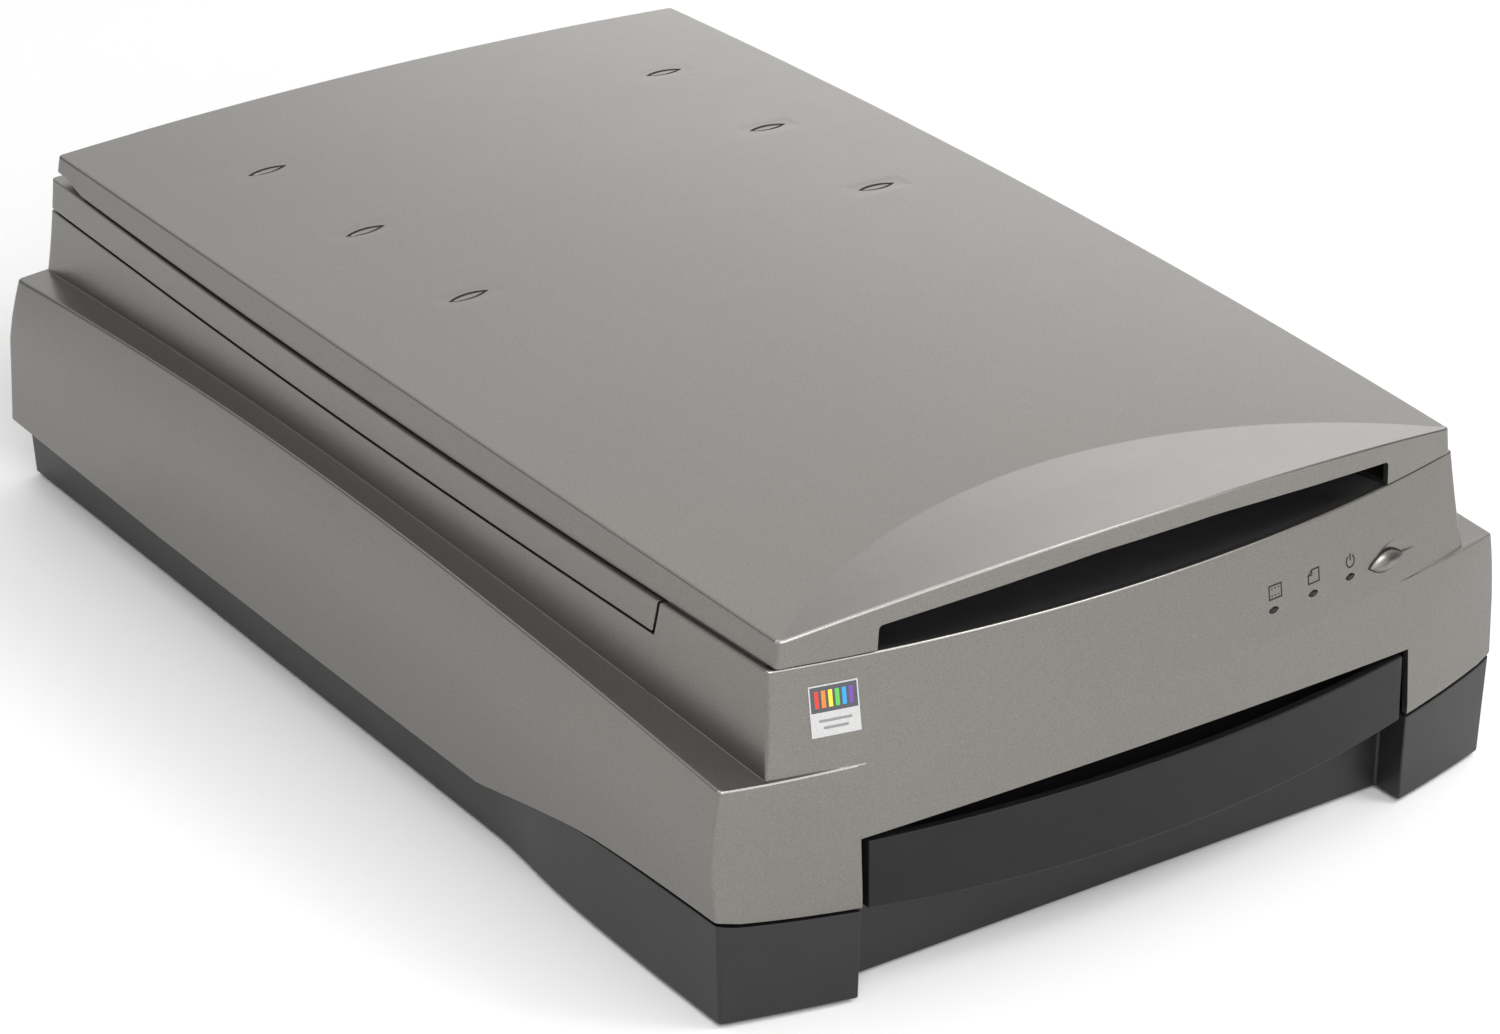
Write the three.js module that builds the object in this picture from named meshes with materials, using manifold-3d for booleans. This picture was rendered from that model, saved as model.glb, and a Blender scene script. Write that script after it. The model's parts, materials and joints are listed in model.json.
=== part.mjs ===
// Dual-bed flatbed scanner: a hinged lid over a glass bed, and a film drawer in the front.
// Millimetres, +Z up, front towards -Y. While the pieces are made, heights are measured from
// the underside of the base tub and depths from the lid's front corners; the last group moves
// the whole assembly so that its origin is the middle of the footprint, at table height.
import * as THREE from 'three';
import { mergeVertices } from 'three/addons/utils/BufferGeometryUtils.js';
import Module from 'manifold-3d';

const wasm = await Module();
wasm.setup();

// ---- Driving dimensions ---------------------------------------------------------------
const GAP = 0.3;                 // clearance between pieces that touch
const WALL = 3;                  // moulded wall thickness
const FRONT_RADIUS = 694;        // plan radius of every front face
const CROWN_TOP = -18.7;         // front face of the cover at x = 0, at its top
const CROWN_SHOULDER = -25.8;    // the same face at shoulder height
const REAR_Y = 557;              // rear face of the base at its lowest edge
const REAR_LEAN = 3.5;           // how far the rear face leans forward by the cover's top
const COVER_TOP = 141.7;
const SHOULDER_Z = 100;          // height of the side shoulders at the front
const LEDGE = 1.9;               // how far the lower front stands proud of the upper at its corners
const LEDGE_FROM = 124;
const SPLIT_Z = 127.5;           // seam between the cover and the glass frame
const SPLIT_Y = 70;              // front end of the glass frame's side strips
const LID_BOTTOM = 142.3;
const LID_CORNER = 153.3;        // lid height at its corners
const LID_LENGTH = 550;
const LID_HALF = 163.7;          // half width of the lid at its corners
const VISOR_DEPTH = 56;          // how far the visor reaches behind the front corners
const VISOR_SLOPE = 0.162;
const SLOT_HALF = 124;           // half width of the finger slot under the visor
const BAND = 10;                 // height of the visor's front band over the slot
const DRAWER_HALF = 132.4;       // half width of the drawer front
const OPENING_HALF = 135.6;      // half width of the drawer opening and of the gap between the feet
const DRAWER_TOP = 67.3;
const MID_WALL_Y = -2.2;         // the base's straight front wall between its feet
const FLOOR = 3;                 // thickness of the base's floor
const FOOT_DROP = 2;             // rubber feet below the base
const GLASS_TOP = 140.7;
const WINDOW = { half: 116, front: 84, rear: 522 };
const SEAT_DEPTH = 3.3;          // the glass seat below the top of the glass
const SEAT_WIDTH = 6;
const DECK = 2.7;                // thickness of the cover's flat top
const HINGE = { x: 110, y: 546, z: 149 };
const POST_TRAVEL_ROOM = 60;     // length of hinge post kept inside its sleeve
const TRAY = { half: 127, front: -5.6, rear: 325, bottom: 45, top: 57 };
const ROD = { x: -150, z: 92, radius: 4 };
const BELT = { x: -128, z: 87, radius: 7, front: 48, rear: 520 };
const CARRIAGE_Y = 464;          // scan line at rest, carriage parked at the rear
const BEYOND = 220;              // reach of cutting blocks past the sides and the top
const BEYOND_REAR = 600;         // reach of cutting blocks past the rear

const { lerp, smoothstep } = THREE.MathUtils;
const bow = (t) => 4 * t * (1 - t);

// ---- Materials ------------------------------------------------------------------------
function paint(color, roughness, metalness) {
  return new THREE.MeshStandardMaterial({ color, roughness, metalness });
}

const MATERIAL = {
  casing: paint(0x8a8680, 0.42, 0.35),
  black: paint(0x2b2b2d, 0.5, 0.0),
  rubber: paint(0x161616, 0.9, 0.0),
  glass: paint(0xbfd0d0, 0.05, 0.0),
  steel: paint(0xb4b6b8, 0.3, 0.9),
  white: paint(0xeceae4, 0.7, 0.0),
  board: paint(0x1f5a36, 0.6, 0.1),
  brass: paint(0xb08a45, 0.35, 0.9),
  light: paint(0x3a2f20, 0.3, 0.0),
  mirror: paint(0xdfe4e8, 0.05, 1.0),
  grey: paint(0x55565a, 0.6, 0.0),
  badge: paint(0x9fc3dd, 0.35, 0.0),
};

// ---- Solids ---------------------------------------------------------------------------
function toSolid(geometry) {
  const bare = geometry.clone();
  bare.deleteAttribute('normal');
  bare.deleteAttribute('uv');
  const merged = mergeVertices(bare);
  const mesh = new wasm.Mesh({
    numProp: 3,
    vertProperties: new Float32Array(merged.attributes.position.array),
    triVerts: new Uint32Array(merged.index.array),
  });
  return new wasm.Manifold(mesh);
}

function toGeometry(solid) {
  const mesh = solid.getMesh();
  const geometry = new THREE.BufferGeometry();
  geometry.setAttribute('position', new THREE.BufferAttribute(new Float32Array(mesh.vertProperties), 3));
  geometry.setIndex(new THREE.BufferAttribute(new Uint32Array(mesh.triVerts), 1));
  geometry.computeVertexNormals();
  return geometry;
}

const join = (first, ...rest) => rest.reduce((sum, next) => sum.add(next), first);
const cut = (first, ...rest) => rest.reduce((left, next) => left.subtract(next), first);

function box(x0, x1, y0, y1, z0, z1) {
  const geometry = new THREE.BoxGeometry(x1 - x0, y1 - y0, z1 - z0);
  geometry.translate((x0 + x1) / 2, (y0 + y1) / 2, (z0 + z1) / 2);
  return toSolid(geometry);
}

function rod(axis, radius, length, x, y, z, segments = 20) {
  const geometry = new THREE.CylinderGeometry(radius, radius, length, segments);
  if (axis === 'x') geometry.rotateZ(Math.PI / 2);
  if (axis === 'z') geometry.rotateX(Math.PI / 2);
  geometry.translate(x, y, z);
  return toSolid(geometry);
}

// A straight extrusion of an outline. along 'x': outline is (y, z); 'y': (x, z); 'z': (x, y).
function prism(points, along, from, to, holes = []) {
  const shape = new THREE.Shape(points.map(([a, b]) => new THREE.Vector2(a, b)));
  shape.holes = holes.map((hole) => new THREE.Path(hole.map(([a, b]) => new THREE.Vector2(a, b))));
  const geometry = new THREE.ExtrudeGeometry(shape, { depth: to - from, bevelEnabled: false });
  const turn = new THREE.Matrix4();
  if (along === 'x') turn.set(0, 0, 1, from, 1, 0, 0, 0, 0, 1, 0, 0, 0, 0, 0, 1);
  if (along === 'y') turn.set(1, 0, 0, 0, 0, 0, -1, to, 0, 1, 0, 0, 0, 0, 0, 1);
  if (along === 'z') turn.makeTranslation(0, 0, from);
  geometry.applyMatrix4(turn);
  return toSolid(geometry);
}

const ellipse = (a, b, cx, cz, count = 16) => Array.from({ length: count }, (_, i) => {
  const angle = (2 * Math.PI * i) / count;
  return [cx + a * Math.cos(angle), cz + b * Math.sin(angle)];
});

function revolve(profile, x, y, z, segments = 24) {
  const geometry = new THREE.LatheGeometry(profile.map(([r, h]) => new THREE.Vector2(r, h)), segments);
  geometry.rotateX(Math.PI / 2);
  geometry.translate(x, y, z);
  return toSolid(geometry);
}

function closedMesh(points, triangles) {
  const geometry = new THREE.BufferGeometry();
  geometry.setAttribute('position', new THREE.Float32BufferAttribute(points.flat(), 3));
  geometry.setIndex(triangles.flat());
  return toSolid(geometry);
}

// A stack of closed rings, lowest first, each counter-clockwise from above.
function loft(rings) {
  const count = rings[0].length;
  const points = rings.flat();
  const triangles = [];
  for (let level = 0; level + 1 < rings.length; level += 1) {
    for (let k = 0; k < count; k += 1) {
      const a = level * count + k;
      const b = level * count + ((k + 1) % count);
      triangles.push([a, b, b + count], [a, b + count, a + count]);
    }
  }
  const centre = (ring) => [0, 1, 2].map((axis) => ring.reduce((sum, p) => sum + p[axis], 0) / count);
  const low = points.push(centre(rings[0])) - 1;
  const high = points.push(centre(rings[rings.length - 1])) - 1;
  const last = (rings.length - 1) * count;
  for (let k = 0; k < count; k += 1) {
    const next = (k + 1) % count;
    triangles.push([low, next, k], [high, last + k, last + next]);
  }
  return closedMesh(points, triangles);
}

// A slab between two grids of points; front(i, j) faces the way that i cross j points.
function slab(countI, countJ, front, back) {
  const points = [];
  const triangles = [];
  const stride = countJ + 1;
  const half = (countI + 1) * stride;
  for (const face of [front, back]) {
    for (let i = 0; i <= countI; i += 1) {
      for (let j = 0; j <= countJ; j += 1) points.push(face(i / countI, j / countJ));
    }
  }
  const quad = (a, b, c, d) => triangles.push([a, b, c], [a, c, d]);
  for (let i = 0; i < countI; i += 1) {
    for (let j = 0; j < countJ; j += 1) {
      const a = i * stride + j;
      quad(a, a + stride, a + stride + 1, a + 1);
      quad(half + a, half + a + 1, half + a + stride + 1, half + a + stride);
    }
  }
  for (let i = 0; i < countI; i += 1) {
    const low = i * stride;
    const high = low + countJ;
    quad(low, half + low, half + low + stride, low + stride);
    quad(high, high + stride, half + high + stride, half + high);
  }
  for (let j = 0; j < countJ; j += 1) {
    const right = countI * stride + j;
    quad(j, j + 1, half + j + 1, half + j);
    quad(right, half + right, half + right + 1, right + 1);
  }
  return closedMesh(points, triangles);
}

// ---- Shared outlines ------------------------------------------------------------------
const frontArc = (x, crown) => crown + FRONT_RADIUS - Math.sqrt(FRONT_RADIUS ** 2 - x * x);
const faceCrown = (z) => lerp(CROWN_SHOULDER, CROWN_TOP, (z - SHOULDER_Z) / (COVER_TOP - SHOULDER_Z));
const rearFace = (z) => REAR_Y - (REAR_LEAN * z) / COVER_TOP;

// The body's outline at one level. front and rear are half widths at the corners, belly is how
// far the sides swell half way, crown is the front face at x = 0, and height gives z.
function outline({ front, rear, belly = 0, crown, back, height, lead = () => 0, side }) {
  const FRONT_STEPS = 20;
  const SIDE_STEPS = 14;
  const points = [];
  const frontY = (x) => frontArc(x, crown) - lead(Math.abs(x));
  const corner = frontY(front);
  const sideX = side ?? ((y) => {
    const t = (y - corner) / (back - corner);
    return lerp(front, rear, t) + belly * bow(t);
  });
  const put = (x, y) => points.push([x, y, height(Math.abs(x), y)]);
  for (let i = 0; i <= FRONT_STEPS; i += 1) {
    const x = lerp(-front, front, i / FRONT_STEPS);
    put(x, frontY(x));
  }
  for (let j = 1; j <= SIDE_STEPS; j += 1) {
    const y = lerp(corner, back, j / SIDE_STEPS);
    put(sideX(y), y);
  }
  put(0, back);
  for (let j = SIDE_STEPS; j >= 1; j -= 1) {
    const y = lerp(corner, back, j / SIDE_STEPS);
    put(-sideX(y), y);
  }
  return points;
}

// The cover's lower edge: level along the sides, rising in an S near the front, and falling
// again across the front towards the drawer opening.
function lowerEdge(x, y) {
  const side = 27.3 + 2.2 * smoothstep(y, 420, REAR_Y) + 17.3 * (1 - smoothstep(y, -12, 178));
  const inner = 1 - smoothstep(x, OPENING_HALF, 192);
  return y < 20 ? side - 4.6 * inner : side;
}

const shoulder = (y, low, rise, rear) => {
  const t = THREE.MathUtils.clamp(y / REAR_Y, 0, 1);
  return y < 8 ? low : lerp(low, rear, t) + rise * bow(t);
};

// The cover's outer skin, grown outwards (or shrunk, when inset is positive).
function coverSkin(inset, top) {
  const crownAt = (z) => faceCrown(z) + inset;
  const back = (z) => rearFace(z) - inset;
  const ledge = (x) => LEDGE * smoothstep(x, LEDGE_FROM, 186);
  const shell = (spec) => outline({ ...spec, front: spec.front - inset, rear: spec.rear - inset });
  const drop = inset > 0 ? 10 : 0;
  return loft([
    shell({ front: 193, rear: 190.7, belly: 0.8, crown: -31 + inset, back: back(30),
      height: (x, y) => lowerEdge(x, y) - drop }),
    shell({ front: 194, rear: 190.2, belly: 1.2, crown: -29.6 + inset, back: back(62),
      height: () => 62 }),
    shell({ front: 190.4, rear: 184.5, belly: -0.9, crown: -25.8 + inset, back: back(98),
      lead: ledge, height: (x, y) => shoulder(y, 99.4, 10.6, 96.7) - inset }),
    shell({ front: 172, rear: 169.8, belly: 3.3, crown: -25.8 + inset, back: back(98.6),
      height: (x, y) => shoulder(y, 100, 9.6, 97.6) - inset }),
    shell({ front: 170.2, rear: 168.9, belly: 3.3, crown: crownAt(105), back: back(104),
      height: (x, y) => shoulder(y, 105, 9.2, 103) }),
    shell({ front: 168.8, rear: 168, belly: 3.7, crown: crownAt(114), back: back(113),
      height: (x, y) => shoulder(y, 114, 8.6, 112) }),
    shell({ front: 167.5, rear: 165.6, belly: 5, crown: crownAt(top), back: back(top),
      height: () => top }),
  ]);
}

// ---- Casing ---------------------------------------------------------------------------
const BUTTON = { x: 122.2, z: 111.6, half: 10.2, rise: 3.9 };
const LEDS = [57.5, 79.4, 100.8];
const LED_Z = 112;
const faceY = (x, z) => frontArc(x, faceCrown(z));
const GRIP = { half: 126, rear: 42, bottom: 126, depth: 11.5, rearWall: 2 };

// Eye-shaped outline of the power button, from tip to tip.
function eye(margin) {
  const STEPS = 10;
  const points = [];
  for (let i = 0; i < 2 * STEPS; i += 1) {
    const t = (i % STEPS) / STEPS;
    const way = i < STEPS ? 1 : -1;
    const across = way * lerp(-1, 1, t) * (BUTTON.half + margin);
    points.push([BUTTON.x + across, BUTTON.z - way * (BUTTON.rise + margin) * bow(t)]);
  }
  return points;
}

// The arched mouth of the drawer opening, low in the front of the cover.
function drawerMouth() {
  const STEPS = 12;
  const points = [[OPENING_HALF, 0], [OPENING_HALF, 68.8]];
  for (let i = 1; i < STEPS; i += 1) {
    const x = lerp(OPENING_HALF, -OPENING_HALF, i / STEPS);
    points.push([x, 68.8 + 7.4 * bow(i / STEPS)]);
  }
  points.push([-OPENING_HALF, 68.8], [-OPENING_HALF, 0]);
  return prism(points.reverse(), 'y', -60, 4);
}

const PORTS = { x0: 40, x1: 150, z0: 40, z1: 80 };

const gripFront = (x) => frontArc(x, CROWN_TOP) + WALL + GAP;
const gripFloor = (t) => COVER_TOP - 1 - GRIP.depth * Math.sin((Math.PI * t) / 2) ** 0.8;

// The opening in the cover's deck over the finger grip; its front follows the curved front wall.
function gripOpening() {
  const STEPS = 12;
  const half = GRIP.half + GAP;
  const points = [];
  for (let i = 0; i <= STEPS; i += 1) {
    const x = lerp(-half, half, i / STEPS);
    points.push([x, gripFront(x) - GAP]);
  }
  points.push([half, GRIP.rear + GAP], [-half, GRIP.rear + GAP]);
  return prism(points, 'z', GRIP.bottom - GAP, BEYOND);
}

function mainCover() {
  let shell = cut(coverSkin(0, COVER_TOP), coverSkin(WALL, COVER_TOP - DECK),
    box(-BEYOND, BEYOND, SPLIT_Y, BEYOND_REAR, SPLIT_Z, BEYOND),
    drawerMouth(), gripOpening(),
    prism(eye(0.4), 'y', -60, 20));
  for (const x of LEDS) {
    shell = shell.subtract(prism(ellipse(3, 1.9, x, LED_Z), 'y', -60, 20));
  }
  return shell.subtract(box(PORTS.x0, PORTS.x1, REAR_Y - 17, BEYOND_REAR, PORTS.z0, PORTS.z1));
}

function glassFrame() {
  const strips = box(-BEYOND, BEYOND, SPLIT_Y + GAP, BEYOND_REAR, SPLIT_Z + GAP, BEYOND);
  const under = box(-BEYOND, BEYOND, SPLIT_Y + WALL, BEYOND_REAR, 0, GLASS_TOP - SEAT_DEPTH - 1);
  const seat = box(-WINDOW.half, WINDOW.half, WINDOW.front, WINDOW.rear, GLASS_TOP - SEAT_DEPTH, BEYOND);
  const window = box(-WINDOW.half + SEAT_WIDTH, WINDOW.half - SEAT_WIDTH, WINDOW.front + SEAT_WIDTH,
    WINDOW.rear - SEAT_WIDTH, 100, BEYOND);
  let frame = cut(coverSkin(0, COVER_TOP).intersect(strips), coverSkin(WALL, 150).intersect(under),
    seat, window);
  for (const side of [-1, 1]) {
    const x = side * HINGE.x;
    frame = join(frame, box(x - 9, x + 9, HINGE.y - 9, HINGE.y + 4.5, 86, GLASS_TOP - 3));
    frame = cut(frame, box(x - 5.4, x + 5.4, HINGE.y - 3.4, HINGE.y + 3.4, 80, 160));
  }
  return frame;
}

// The finger hollow behind the front wall: a floor that falls away, and an upright rear wall.
function gripRecess() {
  const place = (u, v, z) => {
    const x = lerp(-GRIP.half, GRIP.half, u);
    return [x, lerp(gripFront(x), GRIP.rear, v), z];
  };
  const floor = slab(12, 10, (u, v) => place(u, v, gripFloor(v)), (u, v) => place(u, v, GRIP.bottom));
  return join(floor, box(-GRIP.half, GRIP.half, GRIP.rear - GRIP.rearWall, GRIP.rear, GRIP.bottom,
    COVER_TOP - 0.6));
}

// ---- Base -----------------------------------------------------------------------------
const baseSide = (low) => (y) => {
  const flare = 1 - smoothstep(y, 78, 163);
  const narrow = lerp(183.9, 179.3, Math.max(0, y - 160) / 400) + (low ? 0 : 1.9);
  return lerp(narrow, low ? 190.2 : 192.2, flare);
};

function tubSkin(inset, fromZ, toZ) {
  const level = (low, crown, height) => {
    const side = baseSide(low);
    return outline({
      front: (low ? 190 : 192) - inset,
      rear: side(REAR_Y) - inset,
      crown: crown + inset,
      back: REAR_Y - inset - (low ? 0 : 0.8),
      side: (y) => side(y) - inset,
      height,
    });
  };
  return loft([level(true, -30, () => fromZ), level(false, -30.8, toZ)]);
}

const FEET_AT = [[-170, 12], [170, 12], [-150, 518], [150, 518]];
const POST_Y = [26, 540];        // posts that carry the guide rod and the slide rail
const SCREW = { head: 4, headDepth: 2.6, shank: 1.8, length: 22 };
const LOCK = { x: 96, y: 508 };

// The whole base moulding before its fittings: a tray whose front steps back between its feet.
function baseWalls() {
  const outer = cut(tubSkin(0, 0, (x, y) => lowerEdge(x, y) - GAP),
    box(-OPENING_HALF, OPENING_HALF, -80, MID_WALL_Y, -10, 80));
  const hollow = cut(tubSkin(WALL, FLOOR, () => 90),
    box(-OPENING_HALF - WALL, OPENING_HALF + WALL, -80, MID_WALL_Y + WALL, -10, 100));
  return cut(outer, hollow);
}

// The feet in front of the straight front wall are blocks of their own, fixed to the tub.
function frontBlock(side) {
  const [x0, x1] = side > 0 ? [0, BEYOND] : [-BEYOND, 0];
  return baseWalls().intersect(box(x0, x1, -80, MID_WALL_Y - GAP, -10, 100));
}

function baseTub() {
  let tub = baseWalls().intersect(box(-BEYOND, BEYOND, MID_WALL_Y, BEYOND_REAR, -10, 100));
  for (const y of POST_Y) {
    for (const x of [ROD.x, -ROD.x]) {
      tub = join(tub, box(x - 6, x + 6, y - 6, y + 6, 1, 99));
      tub = cut(tub, rod('z', SCREW.head + 0.4, 2 * (SCREW.headDepth + 1), x, y, 0),
        rod('z', SCREW.shank + GAP, 2 * SCREW.length, x, y, 4));
    }
    tub = cut(tub, rod('y', ROD.radius + GAP, 13, ROD.x, y, ROD.z));
  }
  tub = cut(tub, box(-ROD.x - 2.3, -ROD.x + 2.3, 0, 560, 95, 120));
  tub = join(tub, box(BELT.x - 16, BELT.x + 16, BELT.rear - 16, BELT.rear + 16, 1, 54));
  tub = join(tub, box(ROD.x, BELT.x + 5, 28, BELT.front + 5, 64, 70));
  tub = join(tub, rod('z', 2.5, 27, BELT.x, BELT.front, 80.5));
  for (const x of [-100, 100]) tub = join(tub, box(x - 3, x + 3, 8, 486, 1, 7.5));
  for (const [x, y] of FEET_AT) tub = cut(tub, rod('z', 11 + GAP, 4, x, y, -0.8));
  return cut(tub, rod('z', 12.4, 20, LOCK.x, LOCK.y, 0));
}

// ---- Lid ------------------------------------------------------------------------------
const LID_WALL = 2.6;
const LID_CROWN_SIDE = 3.8;      // rise of the lid's top half way along
const LID_CROWN_ACROSS = 5;      // rise of the lid's top half way across
const LID_BELLY = 5;             // how far its sides swell half way along

function lidTop(x, y, half) {
  const t = THREE.MathUtils.clamp(y / LID_LENGTH, 0, 1);
  const across = 1 - (x / half) ** 2;
  return LID_CORNER + LID_CROWN_SIDE * bow(t) + LID_CROWN_ACROSS * across;
}

// Rows of the lid's top run across its width: the visor's rows fan between the front edge and
// the crease arc, and the rest run from the arc to the rear edge.
function lidSkin(inset, bottom) {
  const ROWS = 12;
  const VISOR_ROWS = 3;
  const COLUMNS = 24;
  const crease = (x) => VISOR_DEPTH * (1 - (x / LID_HALF) ** 2) ** 0.93;
  const front = (x) => frontArc(x, -19.3 + inset);
  const place = (u, v, spread) => {
    const row = v * ROWS;
    const flatX = lerp(-1, 1, u) * (LID_HALF - inset);
    const start = Math.max(front(flatX) + 1.2, Math.min(crease(flatX) || 0, VISOR_DEPTH));
    const y = row <= VISOR_ROWS
      ? lerp(front(flatX) - spread, start, row / VISOR_ROWS)
      : lerp(start, LID_LENGTH - inset + spread, (row - VISOR_ROWS) / (ROWS - VISOR_ROWS));
    const swell = LID_BELLY * bow(THREE.MathUtils.clamp(y / LID_LENGTH, 0, 1)) + spread;
    const x = flatX * (1 + swell / LID_HALF);
    const lift = VISOR_SLOPE * Math.max(0, start - y) * (row <= VISOR_ROWS ? 1 : 0);
    return [x, y, lidTop(flatX, y, LID_HALF) + lift - inset];
  };
  return slab(COLUMNS, ROWS, (u, v) => place(u, v, 0), (u, v) => {
    const [x, y] = place(u, v, 1.2);
    return [x, y, bottom];
  });
}

function slotCutter() {
  const STEPS = 14;
  const points = [[-SLOT_HALF - 2, 138], [SLOT_HALF + 2, 138]];
  for (let i = 0; i <= STEPS; i += 1) {
    const x = lerp(SLOT_HALF, -SLOT_HALF, i / STEPS);
    const rise = lidTop(x, 0, LID_HALF) + VISOR_SLOPE * (VISOR_DEPTH + 18) * (1 - (x / LID_HALF) ** 2);
    points.push([x, rise - BAND - 0.4]);
  }
  return prism(points, 'y', -60, 3);
}

const LINER = { front: 24, rear: 529, half: 157, bottom: 145.5, top: 148.5 };

function lidShell() {
  // The rear edge is relieved, so that it clears the glass frame when the lid swings up.
  const relief = [[523, 142.2], [532, 146.3], [570, 146.3], [570, 130], [523, 130]];
  let shell = cut(lidSkin(0, LID_BOTTOM), lidSkin(LID_WALL, 130), slotCutter(),
    prism(relief, 'x', -BEYOND, BEYOND));
  for (const side of [-1, 1]) {
    const x = side * HINGE.x;
    shell = cut(shell, box(x - 14, x + 14, HINGE.y - 20, BEYOND_REAR, 130, HINGE.z + 4.4));
  }
  return shell;
}

// Inner panel of the lid: a flat plate with an upright wall closing the space behind the slot.
function lidLiner() {
  const plate = box(-LINER.half, LINER.half, LINER.front, LINER.rear, LINER.bottom, LINER.top);
  const STEPS = 12;
  const outlineXZ = [[-128, LID_BOTTOM], [128, LID_BOTTOM]];
  for (let i = 0; i <= STEPS; i += 1) {
    const x = lerp(128, -128, i / STEPS);
    outlineXZ.push([x, lidTop(x, LINER.front, LID_HALF) - WALL - GAP]);
  }
  return join(plate, prism(outlineXZ, 'y', LINER.front, LINER.front + 2.5));
}

const backingMat = () => box(-WINDOW.half + 2, WINDOW.half - 2, WINDOW.front + 4, WINDOW.rear - 4,
  GLASS_TOP + 0.5, LINER.bottom - GAP);

// ---- Hinges ---------------------------------------------------------------------------
function hingePost(side) {
  const x = side * HINGE.x;
  const blade = box(x - 5, x + 5, HINGE.y - 3, HINGE.y + 3, HINGE.z - POST_TRAVEL_ROOM, HINGE.z);
  const knuckle = rod('x', 4, 10, x, HINGE.y, HINGE.z);
  return cut(join(blade, knuckle), rod('x', 2.1 + GAP, 20, x, HINGE.y, HINGE.z));
}

function hingeArm(side) {
  const x = side * HINGE.x;
  const bridge = box(x - 10, x + 10, 500, HINGE.y - 6, LINER.top + GAP, LINER.top + 3);
  const cheeks = [-1, 1].map((way) => {
    const inner = x + way * 5.5;
    const outer = x + way * 10;
    const [x0, x1] = [Math.min(inner, outer), Math.max(inner, outer)];
    return join(box(x0, x1, HINGE.y - 12, HINGE.y, HINGE.z - 3, HINGE.z + 3.2),
      rod('x', 3.4, 4.5, (x0 + x1) / 2, HINGE.y, HINGE.z));
  });
  return cut(join(bridge, ...cheeks), rod('x', 2.1 + GAP, 30, x, HINGE.y, HINGE.z));
}

const hingePin = (side) => rod('x', 2.1, 22, side * HINGE.x, HINGE.y, HINGE.z);

// ---- Drawer ---------------------------------------------------------------------------
function drawerFront() {
  const lowEdge = (x) => 34.5 + 3.9 * (x / DRAWER_HALF) ** 2;
  const crownAt = (z) => -29 - (DRAWER_TOP - z) / 30;
  const panel = slab(20, 2, (u, v) => {
    const x = lerp(-DRAWER_HALF, DRAWER_HALF, u);
    const z = lerp(lowEdge(x), DRAWER_TOP, v);
    return [x, frontArc(x, crownAt(z)), z];
  }, (u, v) => {
    const x = lerp(-DRAWER_HALF, DRAWER_HALF, u);
    return [x, -6, lerp(lowEdge(x), DRAWER_TOP, v)];
  });
  const pocket = slab(12, 1, (u, v) => {
    const x = lerp(-112, 112, u);
    return [x, frontArc(x, -25.2), lerp(52, 80, v)];
  }, (u, v) => [lerp(-112, 112, u), -8, lerp(52, 80, v)]);
  return cut(panel, pocket);
}

function drawerTray() {
  const frame = box(-TRAY.half, TRAY.half, TRAY.front, TRAY.rear, TRAY.bottom, TRAY.top);
  return cut(frame, box(-98, 98, 34, 300, 50, 80), box(-92, 92, 40, 294, 30, 80));
}

function filmHolder() {
  let plate = box(-97.6, 97.6, 34.4, 299.6, 50.3, 54);
  for (const x of [-68, -34, 0, 34, 68]) {
    plate = cut(plate, box(x - 12.5, x + 12.5, 48, 286, 40, 60));
  }
  return plate;
}

// C-shaped slide standing on the base's floor; the tray's edge runs in its mouth.
function drawerRail(side) {
  const section = [[137.5, 3.3], [137.5, 62], [124, 62], [124, 57.6], [132, 57.6], [132, 44.4],
    [124, 44.4], [124, 41], [133.5, 41], [133.5, 3.3]];
  const points = side > 0 ? section : section.map(([x, z]) => [-x, z]).reverse();
  return prism(points.reverse(), 'y', 6, 330);
}

// ---- Scanning mechanism ---------------------------------------------------------------
function carriageHousing() {
  const y = CARRIAGE_Y;
  let body = cut(box(-114, 114, y - 32, y + 32, 74, 126), box(-110, 110, y - 28, y + 28, 78, 130),
    box(-104, 104, y - 3, y + 3, 60, 90));
  const rodArm = join(box(-160, -112, y - 26, y + 26, 76, 83), box(-160, -147, y - 26, y + 26, 78, 104));
  const railArm = box(112, 158, y - 12, y + 12, 101, 107);
  body = join(body, rodArm, railArm);
  return cut(body, rod('y', 6 + GAP, 80, ROD.x, y, ROD.z));
}

const bush = (offset) => cut(rod('y', 6, 10, ROD.x, CARRIAGE_Y + offset, ROD.z),
  rod('y', ROD.radius + GAP, 30, ROD.x, CARRIAGE_Y + offset, ROD.z));

const guideRod = () => rod('y', ROD.radius, 526, ROD.x, 283, ROD.z);
const slideRail = () => box(-ROD.x - 2, -ROD.x + 2, 22, 544, 95.3, 100.5);
const lampTube = () => rod('x', 2, 212, 0, CARRIAGE_Y - 14, 122, 12);
const plateMirror = (y, z, angle) => {
  const geometry = new THREE.BoxGeometry(206, 2, 16);
  geometry.rotateX(angle);
  geometry.translate(0, y, z);
  return toSolid(geometry);
};

function lensBarrel() {
  return join(rod('y', 8, 16, 0, CARRIAGE_Y - 2, 88, 24), rod('y', 6.5, 6, 0, CARRIAGE_Y - 12, 88, 24));
}

const sensorBoard = () => join(box(-40, 40, CARRIAGE_Y + 24, CARRIAGE_Y + 25.6, 80, 108),
  box(-30, 30, CARRIAGE_Y + 20, CARRIAGE_Y + 24.5, 86, 92));

function toothedPulley(y) {
  const flange = BELT.radius + 1.4;
  const profile = [[2.8, 0], [flange, 0], [flange, 1], [BELT.radius - 0.6, 1], [BELT.radius - 0.6, 8],
    [flange, 8], [flange, 9], [2.8, 9], [2.8, 0]];
  return revolve(profile, BELT.x, y, BELT.z - 4.5, 20);
}

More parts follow.
